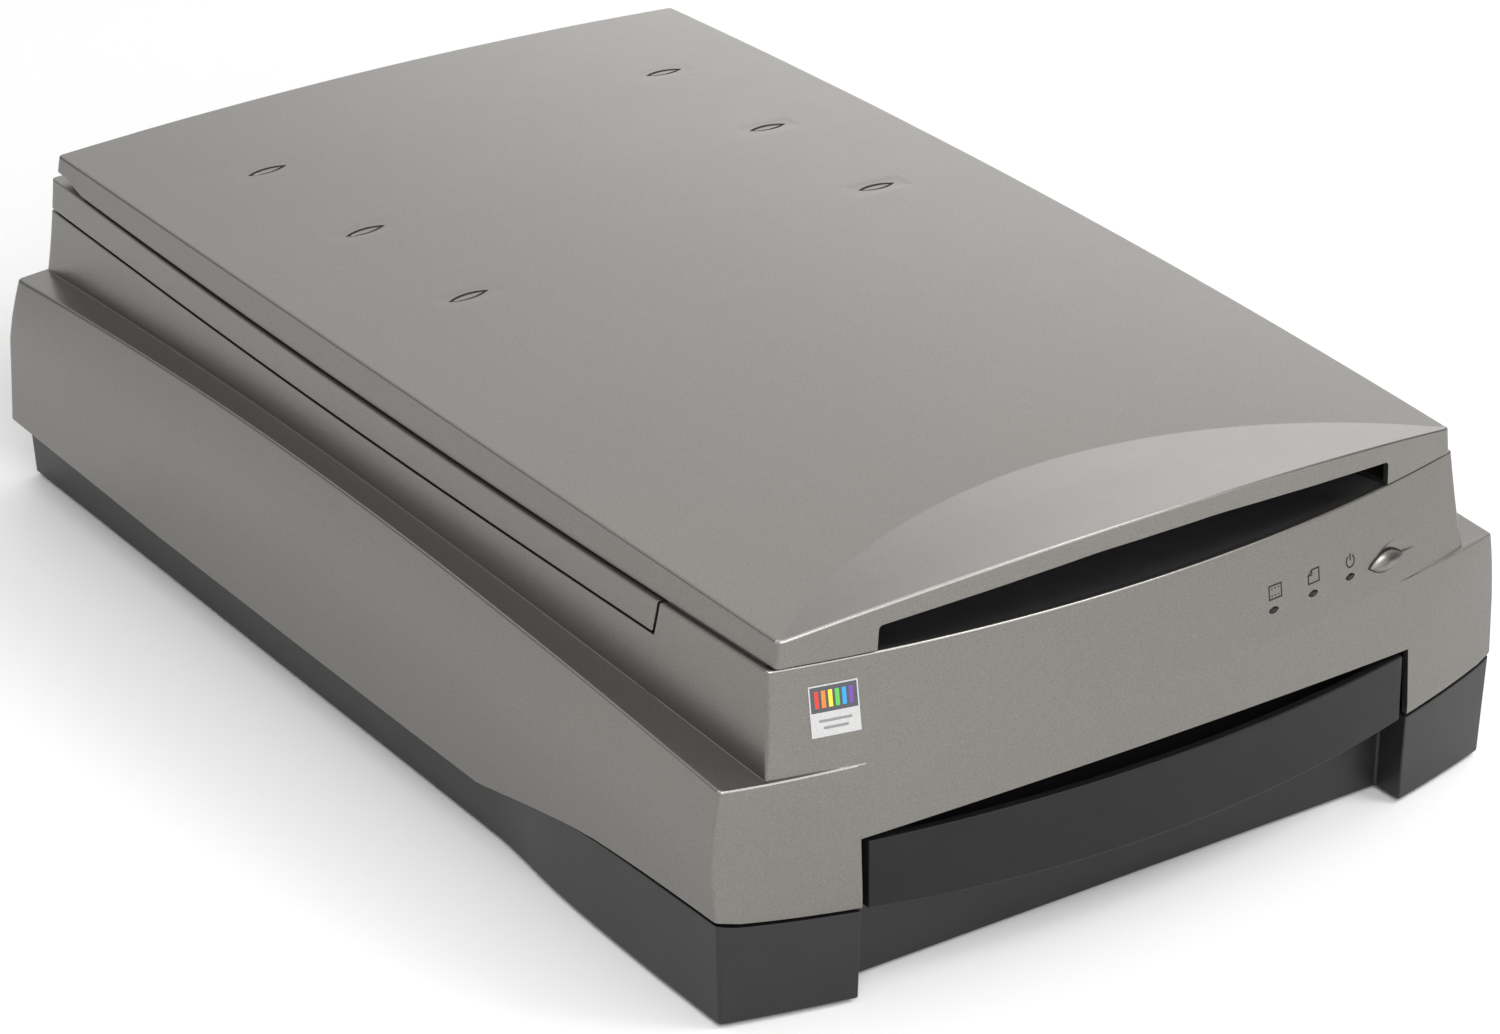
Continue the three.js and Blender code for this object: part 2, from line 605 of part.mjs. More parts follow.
function driveMotor() {
  const can = rod('z', 17, 22, BELT.x, BELT.rear, 65.4, 28);
  return join(can, rod('z', 2.5, 18, BELT.x, BELT.rear, 84));
}

function driveBelt() {
  const loop = (radius) => {
    const points = [];
    for (const [y, start] of [[BELT.rear, 0], [BELT.front, Math.PI]]) {
      for (let i = 0; i <= 8; i += 1) {
        const angle = start + (Math.PI * i) / 8;
        points.push([BELT.x + radius * Math.cos(angle), y + radius * Math.sin(angle)]);
      }
    }
    return points;
  };
  return prism(loop(BELT.radius + 1.1), 'z', BELT.z - 2.8, BELT.z + 2.8, [loop(BELT.radius)]);
}

const filmLamp = () => join(box(-118, 118, CARRIAGE_Y - 9, CARRIAGE_Y + 9, 8, 24),
  box(-100, 100, CARRIAGE_Y - 5, CARRIAGE_Y + 5, 23, 27));

// ---- Electronics ----------------------------------------------------------------------
function mainBoard() {
  const board = box(-176, -174.4, 150, 330, 16, 70);
  const chips = [[170, 30, 26], [225, 24, 34], [280, 30, 22]].map(([y, z, size]) =>
    box(-175, -170, y, y + size, z, z + size * 0.9));
  return join(board, ...chips);
}

const powerSupply = () => join(box(144, 176, 120, 300, 8, 60), box(150, 170, 295, 312, 20, 44));
const controlBoard = () => join(box(40, 142, 8, 9.6, 102, 124), box(112, 132, 3, 8.5, 107, 116));

function lightPipe(x) {
  return prism(ellipse(2.7, 1.6, x, LED_Z), 'y', faceY(x, LED_Z) + 0.15, 7.7);
}

const BADGE = { x0: -152.8, x1: -133.1, z0: 113.1, z1: 133.2, thickness: 0.3 };

function frontBadge() {
  const sheet = (lift) => (u, v) => {
    const x = lerp(BADGE.x0, BADGE.x1, u);
    const z = lerp(BADGE.z0, BADGE.z1, v);
    return [x, faceY(x, z) - lift, z];
  };
  return slab(2, 2, sheet(GAP + BADGE.thickness), sheet(GAP));
}

function powerButton() {
  const front = faceY(BUTTON.x, BUTTON.z) - 1.4;
  const cap = prism(eye(0), 'y', front, front + 7);
  return join(cap, rod('y', 2, 8, BUTTON.x, front + 9, BUTTON.z, 12));
}

function buttonSpring() {
  const back = faceY(BUTTON.x, BUTTON.z) + 13.4;
  const turns = 3;
  const STEPS = 36;
  const points = Array.from({ length: STEPS + 1 }, (_, i) => {
    const angle = (2 * Math.PI * turns * i) / STEPS;
    const y = lerp(faceY(BUTTON.x, BUTTON.z) + 6.4, back, i / STEPS);
    return new THREE.Vector3(BUTTON.x + 3.2 * Math.cos(angle), y, BUTTON.z + 3.2 * Math.sin(angle));
  });
  const wire = new THREE.Shape();
  wire.absarc(0, 0, 0.4, 0, 2 * Math.PI, false);
  const path = new THREE.CatmullRomCurve3(points);
  const settings = { steps: 48, curveSegments: 3, bevelEnabled: false, extrudePath: path };
  return toSolid(new THREE.ExtrudeGeometry(wire, settings));
}

function portPlate() {
  const y = rearFace(60);
  let plate = box(PORTS.x0 + GAP, PORTS.x1 - GAP, y - 6, y - 4, PORTS.z0 + GAP, PORTS.z1 - GAP);
  plate = join(plate, box(PORTS.x0 - 4, PORTS.x1 + 4, y - 8, y - 5, PORTS.z0 - 4, PORTS.z1 + 4));
  plate = cut(plate, box(53, 81, y - 12, y, 53, 73));
  plate = cut(plate, box(91.5, 104.5, y - 12, y, 56.5, 69.5));
  for (const x of [116, 133]) {
    plate = cut(plate, box(x - 6.5, x + 6.5, y - 12, y, 58.5, 67.5));
  }
  return plate;
}

function socket(x0, x1, z0, z1, wall, tongue = { at: [] }) {
  const y = rearFace(60);
  let body = cut(box(x0 + GAP, x1 - GAP, y - 24, y - 3, z0 + GAP, z1 - GAP),
    box(x0 + wall, x1 - wall, y - 20, y, z0 + wall, z1 - wall));
  const middle = (z0 + z1) / 2;
  const centre = (x0 + x1) / 2;
  for (const x of tongue.at) {
    body = join(body, box(centre + x - tongue.half, centre + x + tongue.half, y - 21, y - 6,
      middle - tongue.rise, middle + tongue.rise));
  }
  return body;
}

function transportLock() {
  const disc = revolve([[0, 0], [12, 0], [12, 3.3], [15, 3.3], [15, 5], [4, 5], [4, 22], [0, 22]],
    LOCK.x, LOCK.y, 0.2, 28);
  return cut(disc, box(LOCK.x - 8, LOCK.x + 8, LOCK.y - 1.2, LOCK.y + 1.2, -2, 1.7));
}

// Cross-recessed screw, driven up into a post from under the base.
function baseScrew(x, y) {
  const top = SCREW.headDepth + 1 - GAP;
  const body = join(rod('z', SCREW.head, SCREW.headDepth, x, y, top - SCREW.headDepth / 2),
    rod('z', SCREW.shank, SCREW.length - 1, x, y, top + SCREW.length / 2 - 1, 10));
  const low = top - SCREW.headDepth;
  return cut(body, box(x - 2.4, x + 2.4, y - 0.5, y + 0.5, low - 1, low + 1.2),
    box(x - 0.5, x + 0.5, y - 2.4, y + 2.4, low - 1, low + 1.2));
}

const rubberFoot = (x, y) => revolve([[0, -FOOT_DROP], [9.6, -FOOT_DROP], [11, -FOOT_DROP + 1], [11, 0.9],
  [0, 0.9]], x, y, 0, 24);

// ---- Assembly -------------------------------------------------------------------------
const scanner = new THREE.Group();
scanner.name = 'scanner';

const FRONT_MOST = -29 - (DRAWER_TOP - 34.5) / 30;
const assembly = new THREE.Group();
assembly.position.set(0, -(FRONT_MOST + REAR_Y) / 2, FOOT_DROP);
scanner.add(assembly);

function addPiece(name, solid, material) {
  const mesh = new THREE.Mesh(toGeometry(solid), MATERIAL[material]);
  mesh.name = name;
  assembly.add(mesh);
}

addPiece('base_tub', baseTub(), 'black');
addPiece('front_block_left', frontBlock(-1), 'black');
addPiece('front_block_right', frontBlock(1), 'black');
const FOOT_NAMES = ['front_left', 'front_right', 'rear_left', 'rear_right'];
FEET_AT.forEach(([x, y], i) => addPiece(`rubber_foot_${FOOT_NAMES[i]}`, rubberFoot(x, y), 'rubber'));
POST_Y.forEach((y, row) => [ROD.x, -ROD.x].forEach((x, side) => {
  addPiece(`base_screw_${FOOT_NAMES[2 * row + side]}`, baseScrew(x, y), 'steel');
}));
addPiece('main_cover', mainCover(), 'casing');
addPiece('glass_frame', glassFrame(), 'casing');
addPiece('platen_glass', box(-WINDOW.half + GAP, WINDOW.half - GAP, WINDOW.front + GAP,
  WINDOW.rear - GAP, GLASS_TOP - 3, GLASS_TOP), 'glass');
addPiece('calibration_strip', box(-108, 108, WINDOW.rear - 22, WINDOW.rear - 8, GLASS_TOP - 3.8,
  GLASS_TOP - 3.3), 'white');
addPiece('grip_recess', gripRecess(), 'black');
addPiece('control_board', controlBoard(), 'board');
addPiece('power_button', powerButton(), 'casing');
addPiece('button_spring', buttonSpring(), 'steel');
LEDS.forEach((x, i) => addPiece(`light_pipe_${['film', 'page', 'power'][i]}`, lightPipe(x), 'light'));
addPiece('front_badge', frontBadge(), 'badge');
addPiece('port_plate', portPlate(), 'black');
addPiece('power_inlet', socket(53, 81, 53, 73, 2, { at: [-7, 0, 7], half: 1, rise: 2.5 }), 'black');
addPiece('usb_socket', socket(91.5, 104.5, 56.5, 69.5, 1, { at: [0], half: 3, rise: 1 }), 'steel');
addPiece('data_socket_left', socket(109.5, 122.5, 58.5, 67.5, 1), 'steel');
addPiece('data_socket_right', socket(126.5, 139.5, 58.5, 67.5, 1), 'steel');
addPiece('main_board', mainBoard(), 'board');
addPiece('power_supply', powerSupply(), 'steel');
addPiece('guide_rod', guideRod(), 'steel');
addPiece('slide_rail', slideRail(), 'steel');
addPiece('drive_motor', driveMotor(), 'steel');
addPiece('motor_pulley', toothedPulley(BELT.rear), 'brass');
addPiece('idler_pulley', toothedPulley(BELT.front), 'brass');
addPiece('drive_belt', driveBelt(), 'rubber');
addPiece('carriage_housing', carriageHousing(), 'grey');
addPiece('lamp_tube', lampTube(), 'white');
addPiece('first_mirror', plateMirror(CARRIAGE_Y + 15, 112, 0.7), 'mirror');
addPiece('second_mirror', plateMirror(CARRIAGE_Y - 19, 100, -0.5), 'mirror');
addPiece('lens_barrel', lensBarrel(), 'steel');
addPiece('sensor_board', sensorBoard(), 'board');
addPiece('rod_bush_front', bush(-20), 'brass');
addPiece('rod_bush_rear', bush(20), 'brass');
addPiece('film_lamp', filmLamp(), 'white');
addPiece('drawer_front', drawerFront(), 'black');
addPiece('drawer_tray', drawerTray(), 'black');
addPiece('film_holder', filmHolder(), 'grey');
addPiece('drawer_rail_left', drawerRail(-1), 'steel');
addPiece('drawer_rail_right', drawerRail(1), 'steel');
addPiece('lid_shell', lidShell(), 'casing');
addPiece('lid_liner', lidLiner(), 'black');
addPiece('backing_mat', backingMat(), 'white');
for (const [word, side] of [['left', -1], ['right', 1]]) {
  addPiece(`hinge_post_${word}`, hingePost(side), 'black');
  addPiece(`hinge_arm_${word}`, hingeArm(side), 'steel');
  addPiece(`hinge_pin_${word}`, hingePin(side), 'steel');
}
addPiece('transport_lock', transportLock(), 'grey');

export default scanner;
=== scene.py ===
"""Fine visual model of a dual-bed flatbed scanner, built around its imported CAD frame."""
import json
import math

import bmesh
import bpy
import numpy as np
from mathutils import Matrix, Vector
from mathutils.geometry import tessellate_polygon


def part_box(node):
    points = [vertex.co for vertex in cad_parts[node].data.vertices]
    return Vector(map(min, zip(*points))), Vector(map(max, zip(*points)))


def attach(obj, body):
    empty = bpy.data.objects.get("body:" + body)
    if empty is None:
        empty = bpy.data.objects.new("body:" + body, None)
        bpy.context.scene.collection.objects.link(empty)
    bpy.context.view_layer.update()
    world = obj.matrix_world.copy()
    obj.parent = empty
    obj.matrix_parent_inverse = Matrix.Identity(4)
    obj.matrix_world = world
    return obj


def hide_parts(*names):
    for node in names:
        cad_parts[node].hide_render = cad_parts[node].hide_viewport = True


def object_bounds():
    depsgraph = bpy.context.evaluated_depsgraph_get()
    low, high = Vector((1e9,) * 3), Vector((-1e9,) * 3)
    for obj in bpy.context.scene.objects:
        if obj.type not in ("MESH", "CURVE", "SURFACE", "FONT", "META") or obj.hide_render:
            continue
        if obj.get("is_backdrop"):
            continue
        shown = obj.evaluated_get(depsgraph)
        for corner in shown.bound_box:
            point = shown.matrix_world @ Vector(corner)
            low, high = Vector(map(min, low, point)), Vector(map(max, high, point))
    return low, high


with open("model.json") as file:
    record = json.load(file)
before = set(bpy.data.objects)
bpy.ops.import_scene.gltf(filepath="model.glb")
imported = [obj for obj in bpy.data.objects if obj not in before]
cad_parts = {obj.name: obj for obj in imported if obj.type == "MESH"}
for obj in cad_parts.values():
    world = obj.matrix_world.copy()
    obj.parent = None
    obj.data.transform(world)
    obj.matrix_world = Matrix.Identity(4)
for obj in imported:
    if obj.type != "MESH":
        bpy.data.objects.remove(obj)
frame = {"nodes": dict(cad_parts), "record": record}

CAD_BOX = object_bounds()
NODES = frame["nodes"]

# ---- Design coordinates
# Shapes are worked out in millimetres, with depths measured from the lid's front corners and
# heights from the underside of the base. SHIFT moves them into the frame.
MM = 0.001
REAR_Y = 557.0
SHIFT = np.array([0.0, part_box("base_tub")[1].y / MM - REAR_Y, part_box("base_tub")[0].z / MM])
GAP = 0.3
WALL = 3.0
FRONT_RADIUS = 694.0
COVER_TOP = 141.7
SHOULDER_Z = 100.0
SPLIT_Y = 70.0
SPLIT_Z = 127.5
LID_BOTTOM = 142.3
LID_CORNER = 153.3
LID_LENGTH = 550.0
LID_HALF = 163.7
LID_THICK = 2.6
SLOT_HALF = 124.5
OPENING_HALF = 135.6
DRAWER_HALF = 132.4
DRAWER_TOP = 67.3
MID_WALL_Y = -2.2
GLASS_TOP = 140.7
HINGE_X = 110.0
CREASE_CROWN, TOP_CROWN = -25.8, -18.7  # depth of the front's middle at the shoulder and at the top
SIDE_X = 190.0  # where heights along the side are read
MERGE = 2e-6
LED_X = (57.5, 79.4, 100.8)
LED_Z = 112.0
LED_EYE = (2.55, 1.15, 0.5)  # half length, half height and pointedness
LED_GAP = 0.15
BUTTON = {"x": 122.2, "z": 111.6, "half": 10.2, "rise": 3.9, "depth": 5.6, "proud": 0.5, "dome": 2.6}


def smooth(x, a, b):
    t = np.clip((np.asarray(x, float) - a) / (b - a), 0, 1)
    return t * t * (3 - 2 * t)


def bow(t):
    return 4 * t * (1 - t)


def lerp(a, b, t):
    return a + (b - a) * t


def corner_curve(a, b, c, steps=4):
    """Places along the rounded corner from a to c whose sharp corner is b."""
    a, b, c = (np.array(point, float) for point in (a, b, c))
    shares = np.linspace(0, 1, steps + 1)
    return [tuple((1 - w) ** 2 * a + 2 * w * (1 - w) * b + w * w * c) for w in shares]


def columns(*parts):
    """Places from their coordinates, each an array or one number for all."""
    return np.stack(np.broadcast_arrays(*parts), axis=-1)


def around(count):
    """Even angles once round."""
    return np.linspace(0, 2 * math.pi, count, endpoint=False)


def arc_y(x, crown):
    """Depth of a front face at x; every front face has the same plan radius."""
    return crown + FRONT_RADIUS - np.sqrt(FRONT_RADIUS ** 2 - np.square(x))


def table(x, pairs):
    """Straight-line interpolation in a short table of (position, value)."""
    places, values = zip(*pairs)
    return np.interp(x, places, values)


# ---- Mesh helpers
def quads(index, close_u=False, close_v=False):
    """Faces of a grid of vertex numbers index[u, v]."""
    u = np.arange(index.shape[0] if close_u else index.shape[0] - 1)
    v = np.arange(index.shape[1] if close_v else index.shape[1] - 1)
    uu, vv = np.meshgrid(u, v, indexing="ij")
    un, vn = (uu + 1) % index.shape[0], (vv + 1) % index.shape[1]
    cells = np.stack([index[uu, vv], index[un, vv], index[un, vn], index[uu, vn]], axis=-1)
    return cells


class Skin:
    """Collects vertices and faces of one closed mesh, in design millimetres."""

    def __init__(self):
        self.points = []
        self.count = 0
        self.faces = []
        self.tags = []

    def add(self, points):
        points = np.asarray(points, float)
        start = self.count
        self.points.append(points.reshape(-1, 3))
        self.count += len(self.points[-1])
        return np.arange(start, self.count).reshape(points.shape[:-1])

    def at(self, numbers):
        return np.concatenate(self.points)[numbers]

    def face(self, cells, tag=0):
        for cell in np.asarray(cells).reshape(-1, np.asarray(cells).shape[-1]):
            self.faces.append([int(i) for i in cell])
            self.tags.append(tag)

    def cap(self, loop):
        self.faces.append([int(i) for i in loop])
        self.tags.append(0)

    def stack(self, loops):
        """Faces from loop to loop, with both ends closed."""
        self.rings(loops)
        self.cap(loops[0][::-1])
        self.cap(loops[-1])

    def bar(self, sections):
        """Faces round and along [sections, corners, 3], with both ends closed."""
        grid = self.add(sections)
        self.face(quads(grid, close_v=True))
        self.cap(grid[0])
        self.cap(grid[-1][::-1])

    def rings(self, loops, tag=0, closed=True):
        for a, b in zip(loops[:-1], loops[1:]):
            self.face(quads(np.stack([a, b], axis=1), close_u=closed), tag)


def rounded(control, trims, steps=3, closed=True):
    """Rounds the corners of each column of control points [columns, corners, 3]."""
    out = []
    corners = control.shape[1]
    for i in range(corners):
        if trims[i] <= 0 or (not closed and i in (0, corners - 1)):
            out.append(control[:, i])
            continue
        here = control[:, i]
        before = control[:, i - 1] - here
        after = control[:, (i + 1) % corners] - here
        reach_b = np.linalg.norm(before, axis=1, keepdims=True) + 1e-9
        reach_a = np.linalg.norm(after, axis=1, keepdims=True) + 1e-9
        start = here + before * np.minimum(trims[i], 0.45 * reach_b) / reach_b
        end = here + after * np.minimum(trims[i], 0.45 * reach_a) / reach_a
        for s in range(steps + 1):
            w = s / steps
            out.append((1 - w) ** 2 * start + 2 * w * (1 - w) * here + w * w * end)
    return np.stack(out, axis=1)


def levelled(control, steps, closed=True):
    """A skin with one grid through (level, trim) pairs, and the grid row where each pair starts."""
    levels, trims = zip(*control)
    skin = Skin()
    grid = skin.add(rounded(np.stack(levels, axis=1), trims, steps, closed))
    return skin, grid, np.concatenate([[0], np.cumsum([steps + 1 if t > 0 else 1 for t in trims])])


def linked(name, data):
    """A new object in the scene."""
    obj = bpy.data.objects.new(name, data)
    bpy.context.scene.collection.objects.link(obj)
    return obj


def modify(obj, name, kind, **settings):
    modifier = obj.modifiers.new(name, kind)
    for key, value in settings.items():
        setattr(modifier, key, value)


def piece(name, skin, body, materials, replaces=(), sharp=32.0, weighted=True):
    """Makes a closed mesh object from a skin with its materials, rides it on its body and hides the parts it
    replaces.
    """
    points = (np.concatenate(skin.points) + SHIFT) * MM
    mesh = bpy.data.meshes.new(name)
    bm = bmesh.new()
    verts = [bm.verts.new(p) for p in points]
    for face, tag in zip(skin.faces, skin.tags):
        corners = [v for i, v in enumerate(face) if v != face[i - 1]]
        if len(set(corners)) < 3:
            continue
        try:
            made = bm.faces.new([verts[i] for i in corners])
        except ValueError:  # the same face is there already
            continue
        made.material_index = tag
    bmesh.ops.remove_doubles(bm, verts=bm.verts, dist=MERGE)
    bmesh.ops.dissolve_degenerate(bm, edges=bm.edges, dist=1e-7)
    loose = [v for v in bm.verts if not v.link_faces]
    bmesh.ops.delete(bm, geom=loose, context="VERTS")
    bmesh.ops.recalc_face_normals(bm, faces=bm.faces)
    bm.to_mesh(mesh)
    bm.free()
    mesh.shade_smooth()
    mesh.set_sharp_from_angle(angle=math.radians(sharp))
    for material in (materials if isinstance(materials, list) else [materials]):
        mesh.materials.append(material)
    obj = linked(name, mesh)
    if weighted:
        modify(obj, "even_normals", "WEIGHTED_NORMAL", keep_sharp=True)
    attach(obj, body)
    if replaces:
        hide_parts(*replaces)
    return obj


# ---- Materials
MIX_A, MIX_B, MIX_RESULT = 6, 7, 2  # the colour sockets of a mix node


class Tree:
    """A short way to write a node tree."""

    def __init__(self, tree):
        self.tree = tree

    def node(self, kind, output, inputs, **settings):
        """Adds a node, sets or links its inputs and gives one of its outputs."""
        made = self.tree.nodes.new(kind)
        for key, value in settings.items():
            setattr(made, key, value)
        for key, value in inputs.items():
            if isinstance(value, bpy.types.NodeSocket):
                self.tree.links.new(value, made.inputs[key])
            else:
                made.inputs[key].default_value = value
        return made.outputs[output]

    def span(self, source, low, high, from_low=0.0, from_high=1.0, **settings):
        limits = {"From Min": from_low, "From Max": from_high, "To Min": low, "To Max": high}
        return self.node("ShaderNodeMapRange", "Result", {**limits, "Value": source}, **settings)


class Nodes(Tree):
    """The node tree of a new material, laid out from the piece's own coordinates."""

    def __init__(self, name):
        self.material = bpy.data.materials.new(name)
        self.material.use_nodes = True
        super().__init__(self.material.node_tree)
        self.place = self.node("ShaderNodeTexCoord", "Object", {})

    def noise(self, scale, detail=3.0, rough=0.5, stretch=None):
        place = self.place
        if stretch:
            place = self.node("ShaderNodeMapping", "Vector", {"Scale": stretch, "Vector": place})
        return self.node("ShaderNodeTexNoise", "Fac", {
            "Scale": scale, "Detail": detail, "Roughness": rough, "Vector": place})

    def ramp(self, source, stops):
        colours = self.node("ShaderNodeValToRGB", "Color", {"Fac": source})
        ramp = colours.node.color_ramp
        ramp.elements[0].position, ramp.elements[0].color = stops[0][0], (*stops[0][1], 1)
        ramp.elements[1].position, ramp.elements[1].color = stops[-1][0], (*stops[-1][1], 1)
        for place, colour in stops[1:-1]:
            ramp.elements.new(place).color = (*colour, 1)
        return colours

    def product(self, a, b):
        return self.node("ShaderNodeMix", MIX_RESULT, {"Factor": 1.0, MIX_A: a, MIX_B: b},
                         data_type="RGBA", blend_type="MULTIPLY")

    def bump(self, source, strength, distance):
        return self.node("ShaderNodeBump", "Normal", {
            "Strength": strength, "Distance": distance, "Height": source})

    def finish(self, colour, rough, normal=None, **sockets):
        shader = self.tree.nodes["Principled BSDF"]
        for socket, source in (("Base Color", colour), ("Roughness", rough), ("Normal", normal)):
            if source is not None:
                self.tree.links.new(source, shader.inputs[socket])
        for key, value in sockets.items():
            shader.inputs[key.replace("_", " ")].default_value = value
        return self.material


def shade(colour, factor):
    return tuple(c * factor for c in colour)


def casing_paint(name, base, fade=False):
    """Satin metallic paint: fine bright flakes and faint mottling; with fade it grows darker to the right, so
    the painted edge highlight made from it fades out to the right.
    """
    n = Nodes(name)
    flakes = n.ramp(n.noise(2300, 3), [(0.30, shade(base, 0.80)), (0.52, base), (0.74, shade(base, 1.22))])
    cloud = n.ramp(n.noise(9, 4), [(0.3, (0.97, 0.97, 0.975)), (0.7, (1.0, 1.0, 0.995))])
    colour = n.product(flakes, cloud)
    if fade:
        across = n.node("ShaderNodeSeparateXYZ", "X", {0: n.place})
        share = n.span(across, 0.0, 1.0, -0.11, 0.10)
        colour = n.product(colour, n.ramp(share, [(0.0, (1, 1, 1)), (1.0, (0.42, 0.41, 0.40))]))
    rough = n.span(n.noise(60, 4), 0.27, 0.32)
    grain = n.bump(n.noise(2600, 2), 0.10, 0.00003)
    return n.finish(colour, rough, grain, Metallic=0.90, Coat_Weight=0.12, Coat_Roughness=0.35,
                    Specular_IOR_Level=0.5)


def brushed(name, base, low, high, stretch):
    """Metal with fine drawn lines."""
    n = Nodes(name)
    lines = n.noise(900, 3, 0.5, stretch)
    colour = n.ramp(lines, [(0.3, shade(base, 0.9)), (0.7, shade(base, 1.08))])
    rough = n.span(n.noise(40, 4), low, high)
    return n.finish(colour, rough, n.bump(lines, 0.12, 0.00003), Metallic=1.0)


def mottled(name, tint, gloss, grain=None, **sockets):
    """A material from its tint (scale, detail, dark, light), gloss (scale, detail, low, high) and grain
    (scale, roughness, strength, depth)."""
    n = Nodes(name)
    scale, detail, dark, light = tint
    colour = n.ramp(n.noise(scale, detail), [(0.3, dark), (0.7, light)])
    normal = n.bump(n.noise(grain[0], 3, grain[1]), *grain[2:]) if grain else None
    return n.finish(colour, n.span(n.noise(*gloss[:2]), *gloss[2:]), normal, **sockets)


def moulded(name, base, low, high, specular=0.4):
    """Moulded plastic with a fine spark-eroded grain and a little uneven gloss."""
    return mottled(name, (70, 5, shade(base, 0.9), shade(base, 1.12)), (25, 5, low, high),
                   (1500, 0.6, 0.25, 0.00005), Specular_IOR_Level=specular)


def circuit_board():
    """Copper dots on green solder mask."""
    n = Nodes("circuit_board")
    cells = n.node("ShaderNodeTexVoronoi", "Distance", {"Scale": 260, "Vector": n.place},
                   distance="CHEBYCHEV")
    colour = n.ramp(cells, [(0.1, (0.45, 0.36, 0.16)), (0.16, (0.012, 0.10, 0.04)),
                            (0.6, (0.016, 0.14, 0.055))])
    return n.finish(colour, n.span(n.noise(90, 3), 0.35, 0.55), n.bump(n.noise(800, 2), 0.2, 0.00005))


def printed(name, base, rough, metallic=0.0):
    """Printed ink or foil on the sticker and the icons."""
    return mottled(name, (1400, 3, shade(base, 0.92), shade(base, 1.06)),
                   (300, 2, rough - 0.05, rough + 0.05), Metallic=metallic)


CASING = casing_paint("casing_paint", (0.196, 0.188, 0.173))
# A lighter copy of the casing paint for the front edges: a painted highlight that fades out to the right.
PAINTED_HIGHLIGHT = casing_paint("casing_painted_highlight", (0.47, 0.46, 0.44), fade=True)
BLACK = moulded("black_plastic", (0.012, 0.012, 0.0125), 0.36, 0.44)
FASCIA_BLACK = moulded("drawer_plastic", (0.009, 0.009, 0.0095), 0.36, 0.44, specular=0.24)
# Dark unpainted plastic for inner sides and fittings; it also serves as painted shade in the lid's dish
# grooves and under the lid.
INNER_AND_SHADE = moulded("inner_plastic_and_shade", (0.012, 0.012, 0.012), 0.6, 0.75)
GREY = moulded("grey_plastic", (0.055, 0.056, 0.06), 0.5, 0.6)
RUBBER = mottled("rubber", (200, 4, (0.014, 0.014, 0.014), (0.026, 0.026, 0.026)), (60, 3, 0.75, 0.9),
                 (1800, 0.7, 0.4, 0.00008))
GLASS = mottled("platen_glass", (12, 2, (0.93, 0.98, 0.96), (0.96, 1.0, 0.985)), (30, 4, 0.0, 0.02),
              Transmission_Weight=1.0, IOR=1.52)
STEEL = brushed("plated_steel", (0.52, 0.53, 0.54), 0.26, 0.38, (1, 12, 12))
BRASS = brushed("sintered_brass", (0.55, 0.38, 0.15), 0.32, 0.45, (6, 6, 1))
FOAM = mottled("white_foam", (500, 4, (0.80, 0.79, 0.76), (0.88, 0.87, 0.85)), (80, 3, 0.7, 0.85),
               (2400, 0.7, 0.35, 0.00008))
BOARD = circuit_board()
LENS = mottled("smoked_lens", (300, 3, (0.006, 0.005, 0.004), (0.012, 0.010, 0.008)), (80, 2, 0.14, 0.2),
             Specular_IOR_Level=0.3)
MIRROR = mottled("silvered_mirror", (40, 2, (0.84, 0.86, 0.88), (0.9, 0.91, 0.92)), (30, 2, 0.02, 0.04),
               Metallic=1.0)
INK = printed("dark_ink", (0.006, 0.006, 0.006), 0.75)
SLOT_MATERIAL = {
    "casing": CASING, "black_plastic": BLACK, "rubber": RUBBER, "platen": GLASS, "steel": STEEL,
    "white_foam": FOAM, "board": BOARD, "brass": BRASS, "pipe": LENS, "mirror": MIRROR,
    "grey_plastic": GREY, "badge": printed("foil", (0.5, 0.5, 0.5), 0.3, 0.6),
}

# ---- Body outline
# Tables of (depth, value): the shoulder's inner crease and outer edge, the top edge, the lip under
# the shoulder, the side's widest line and the cover's lower edge.
CREASE_Z = [(0, 100.0), (70, 103.2), (140, 105.9), (210, 107.9), (280, 108.9), (350, 108.3), (420, 105.9),
            (490, 102.3), (557, 98.0)]
CREASE_X = [(0, 172.0), (140, 173.4), (280, 174.0), (420, 172.4), (557, 169.8)]
TOP_X = [(0, 167.5), (70, 169.6), (140, 171.0), (280, 172.0), (420, 170.2), (557, 165.6)]
EDGE_Z = [(0, 99.6), (70, 103.6), (140, 106.6), (210, 108.9), (280, 109.7), (350, 108.9), (420, 106.2),
          (490, 102.0), (557, 96.7)]
EDGE_X = [(0, 190.4), (140, 188.1), (280, 186.7), (420, 185.6), (557, 184.5)]
LIP_X = [(0, 193.0), (280, 192.7), (557, 190.7)]
BULGE_X = [(0, 193.9), (280, 193.3), (557, 190.2)]
LOWER_EDGE = [(-12, 45.4), (7, 45.0), (26, 44.5), (45.5, 43.8), (62, 43.0), (80, 41.8), (91, 40.4),
              (102, 38.8), (121, 35.4), (134, 32.9), (147, 30.3), (156, 28.5), (163, 27.3), (420, 27.3),
              (557, 29.5)]
REAR_CORNER = 2.6
BULGE_Z = 68.0  # height of the side's widest line


def eased(y, pairs):
    """A smooth curve through a table, by a local cubic."""
    px, pv = (np.array(c, float) for c in zip(*pairs))
    slope = np.gradient(pv, px)
    y = np.clip(np.asarray(y, float), px[0], px[-1])
    i = np.clip(np.searchsorted(px, y, side="right") - 1, 0, len(px) - 2)
    h = px[i + 1] - px[i]
    t = (y - px[i]) / h
    a, b = 2 * t ** 3 - 3 * t ** 2 + 1, t ** 3 - 2 * t ** 2 + t
    return a * pv[i] + b * h * slope[i] + (1 - a) * pv[i + 1] + (t ** 3 - t ** 2) * h * slope[i + 1]


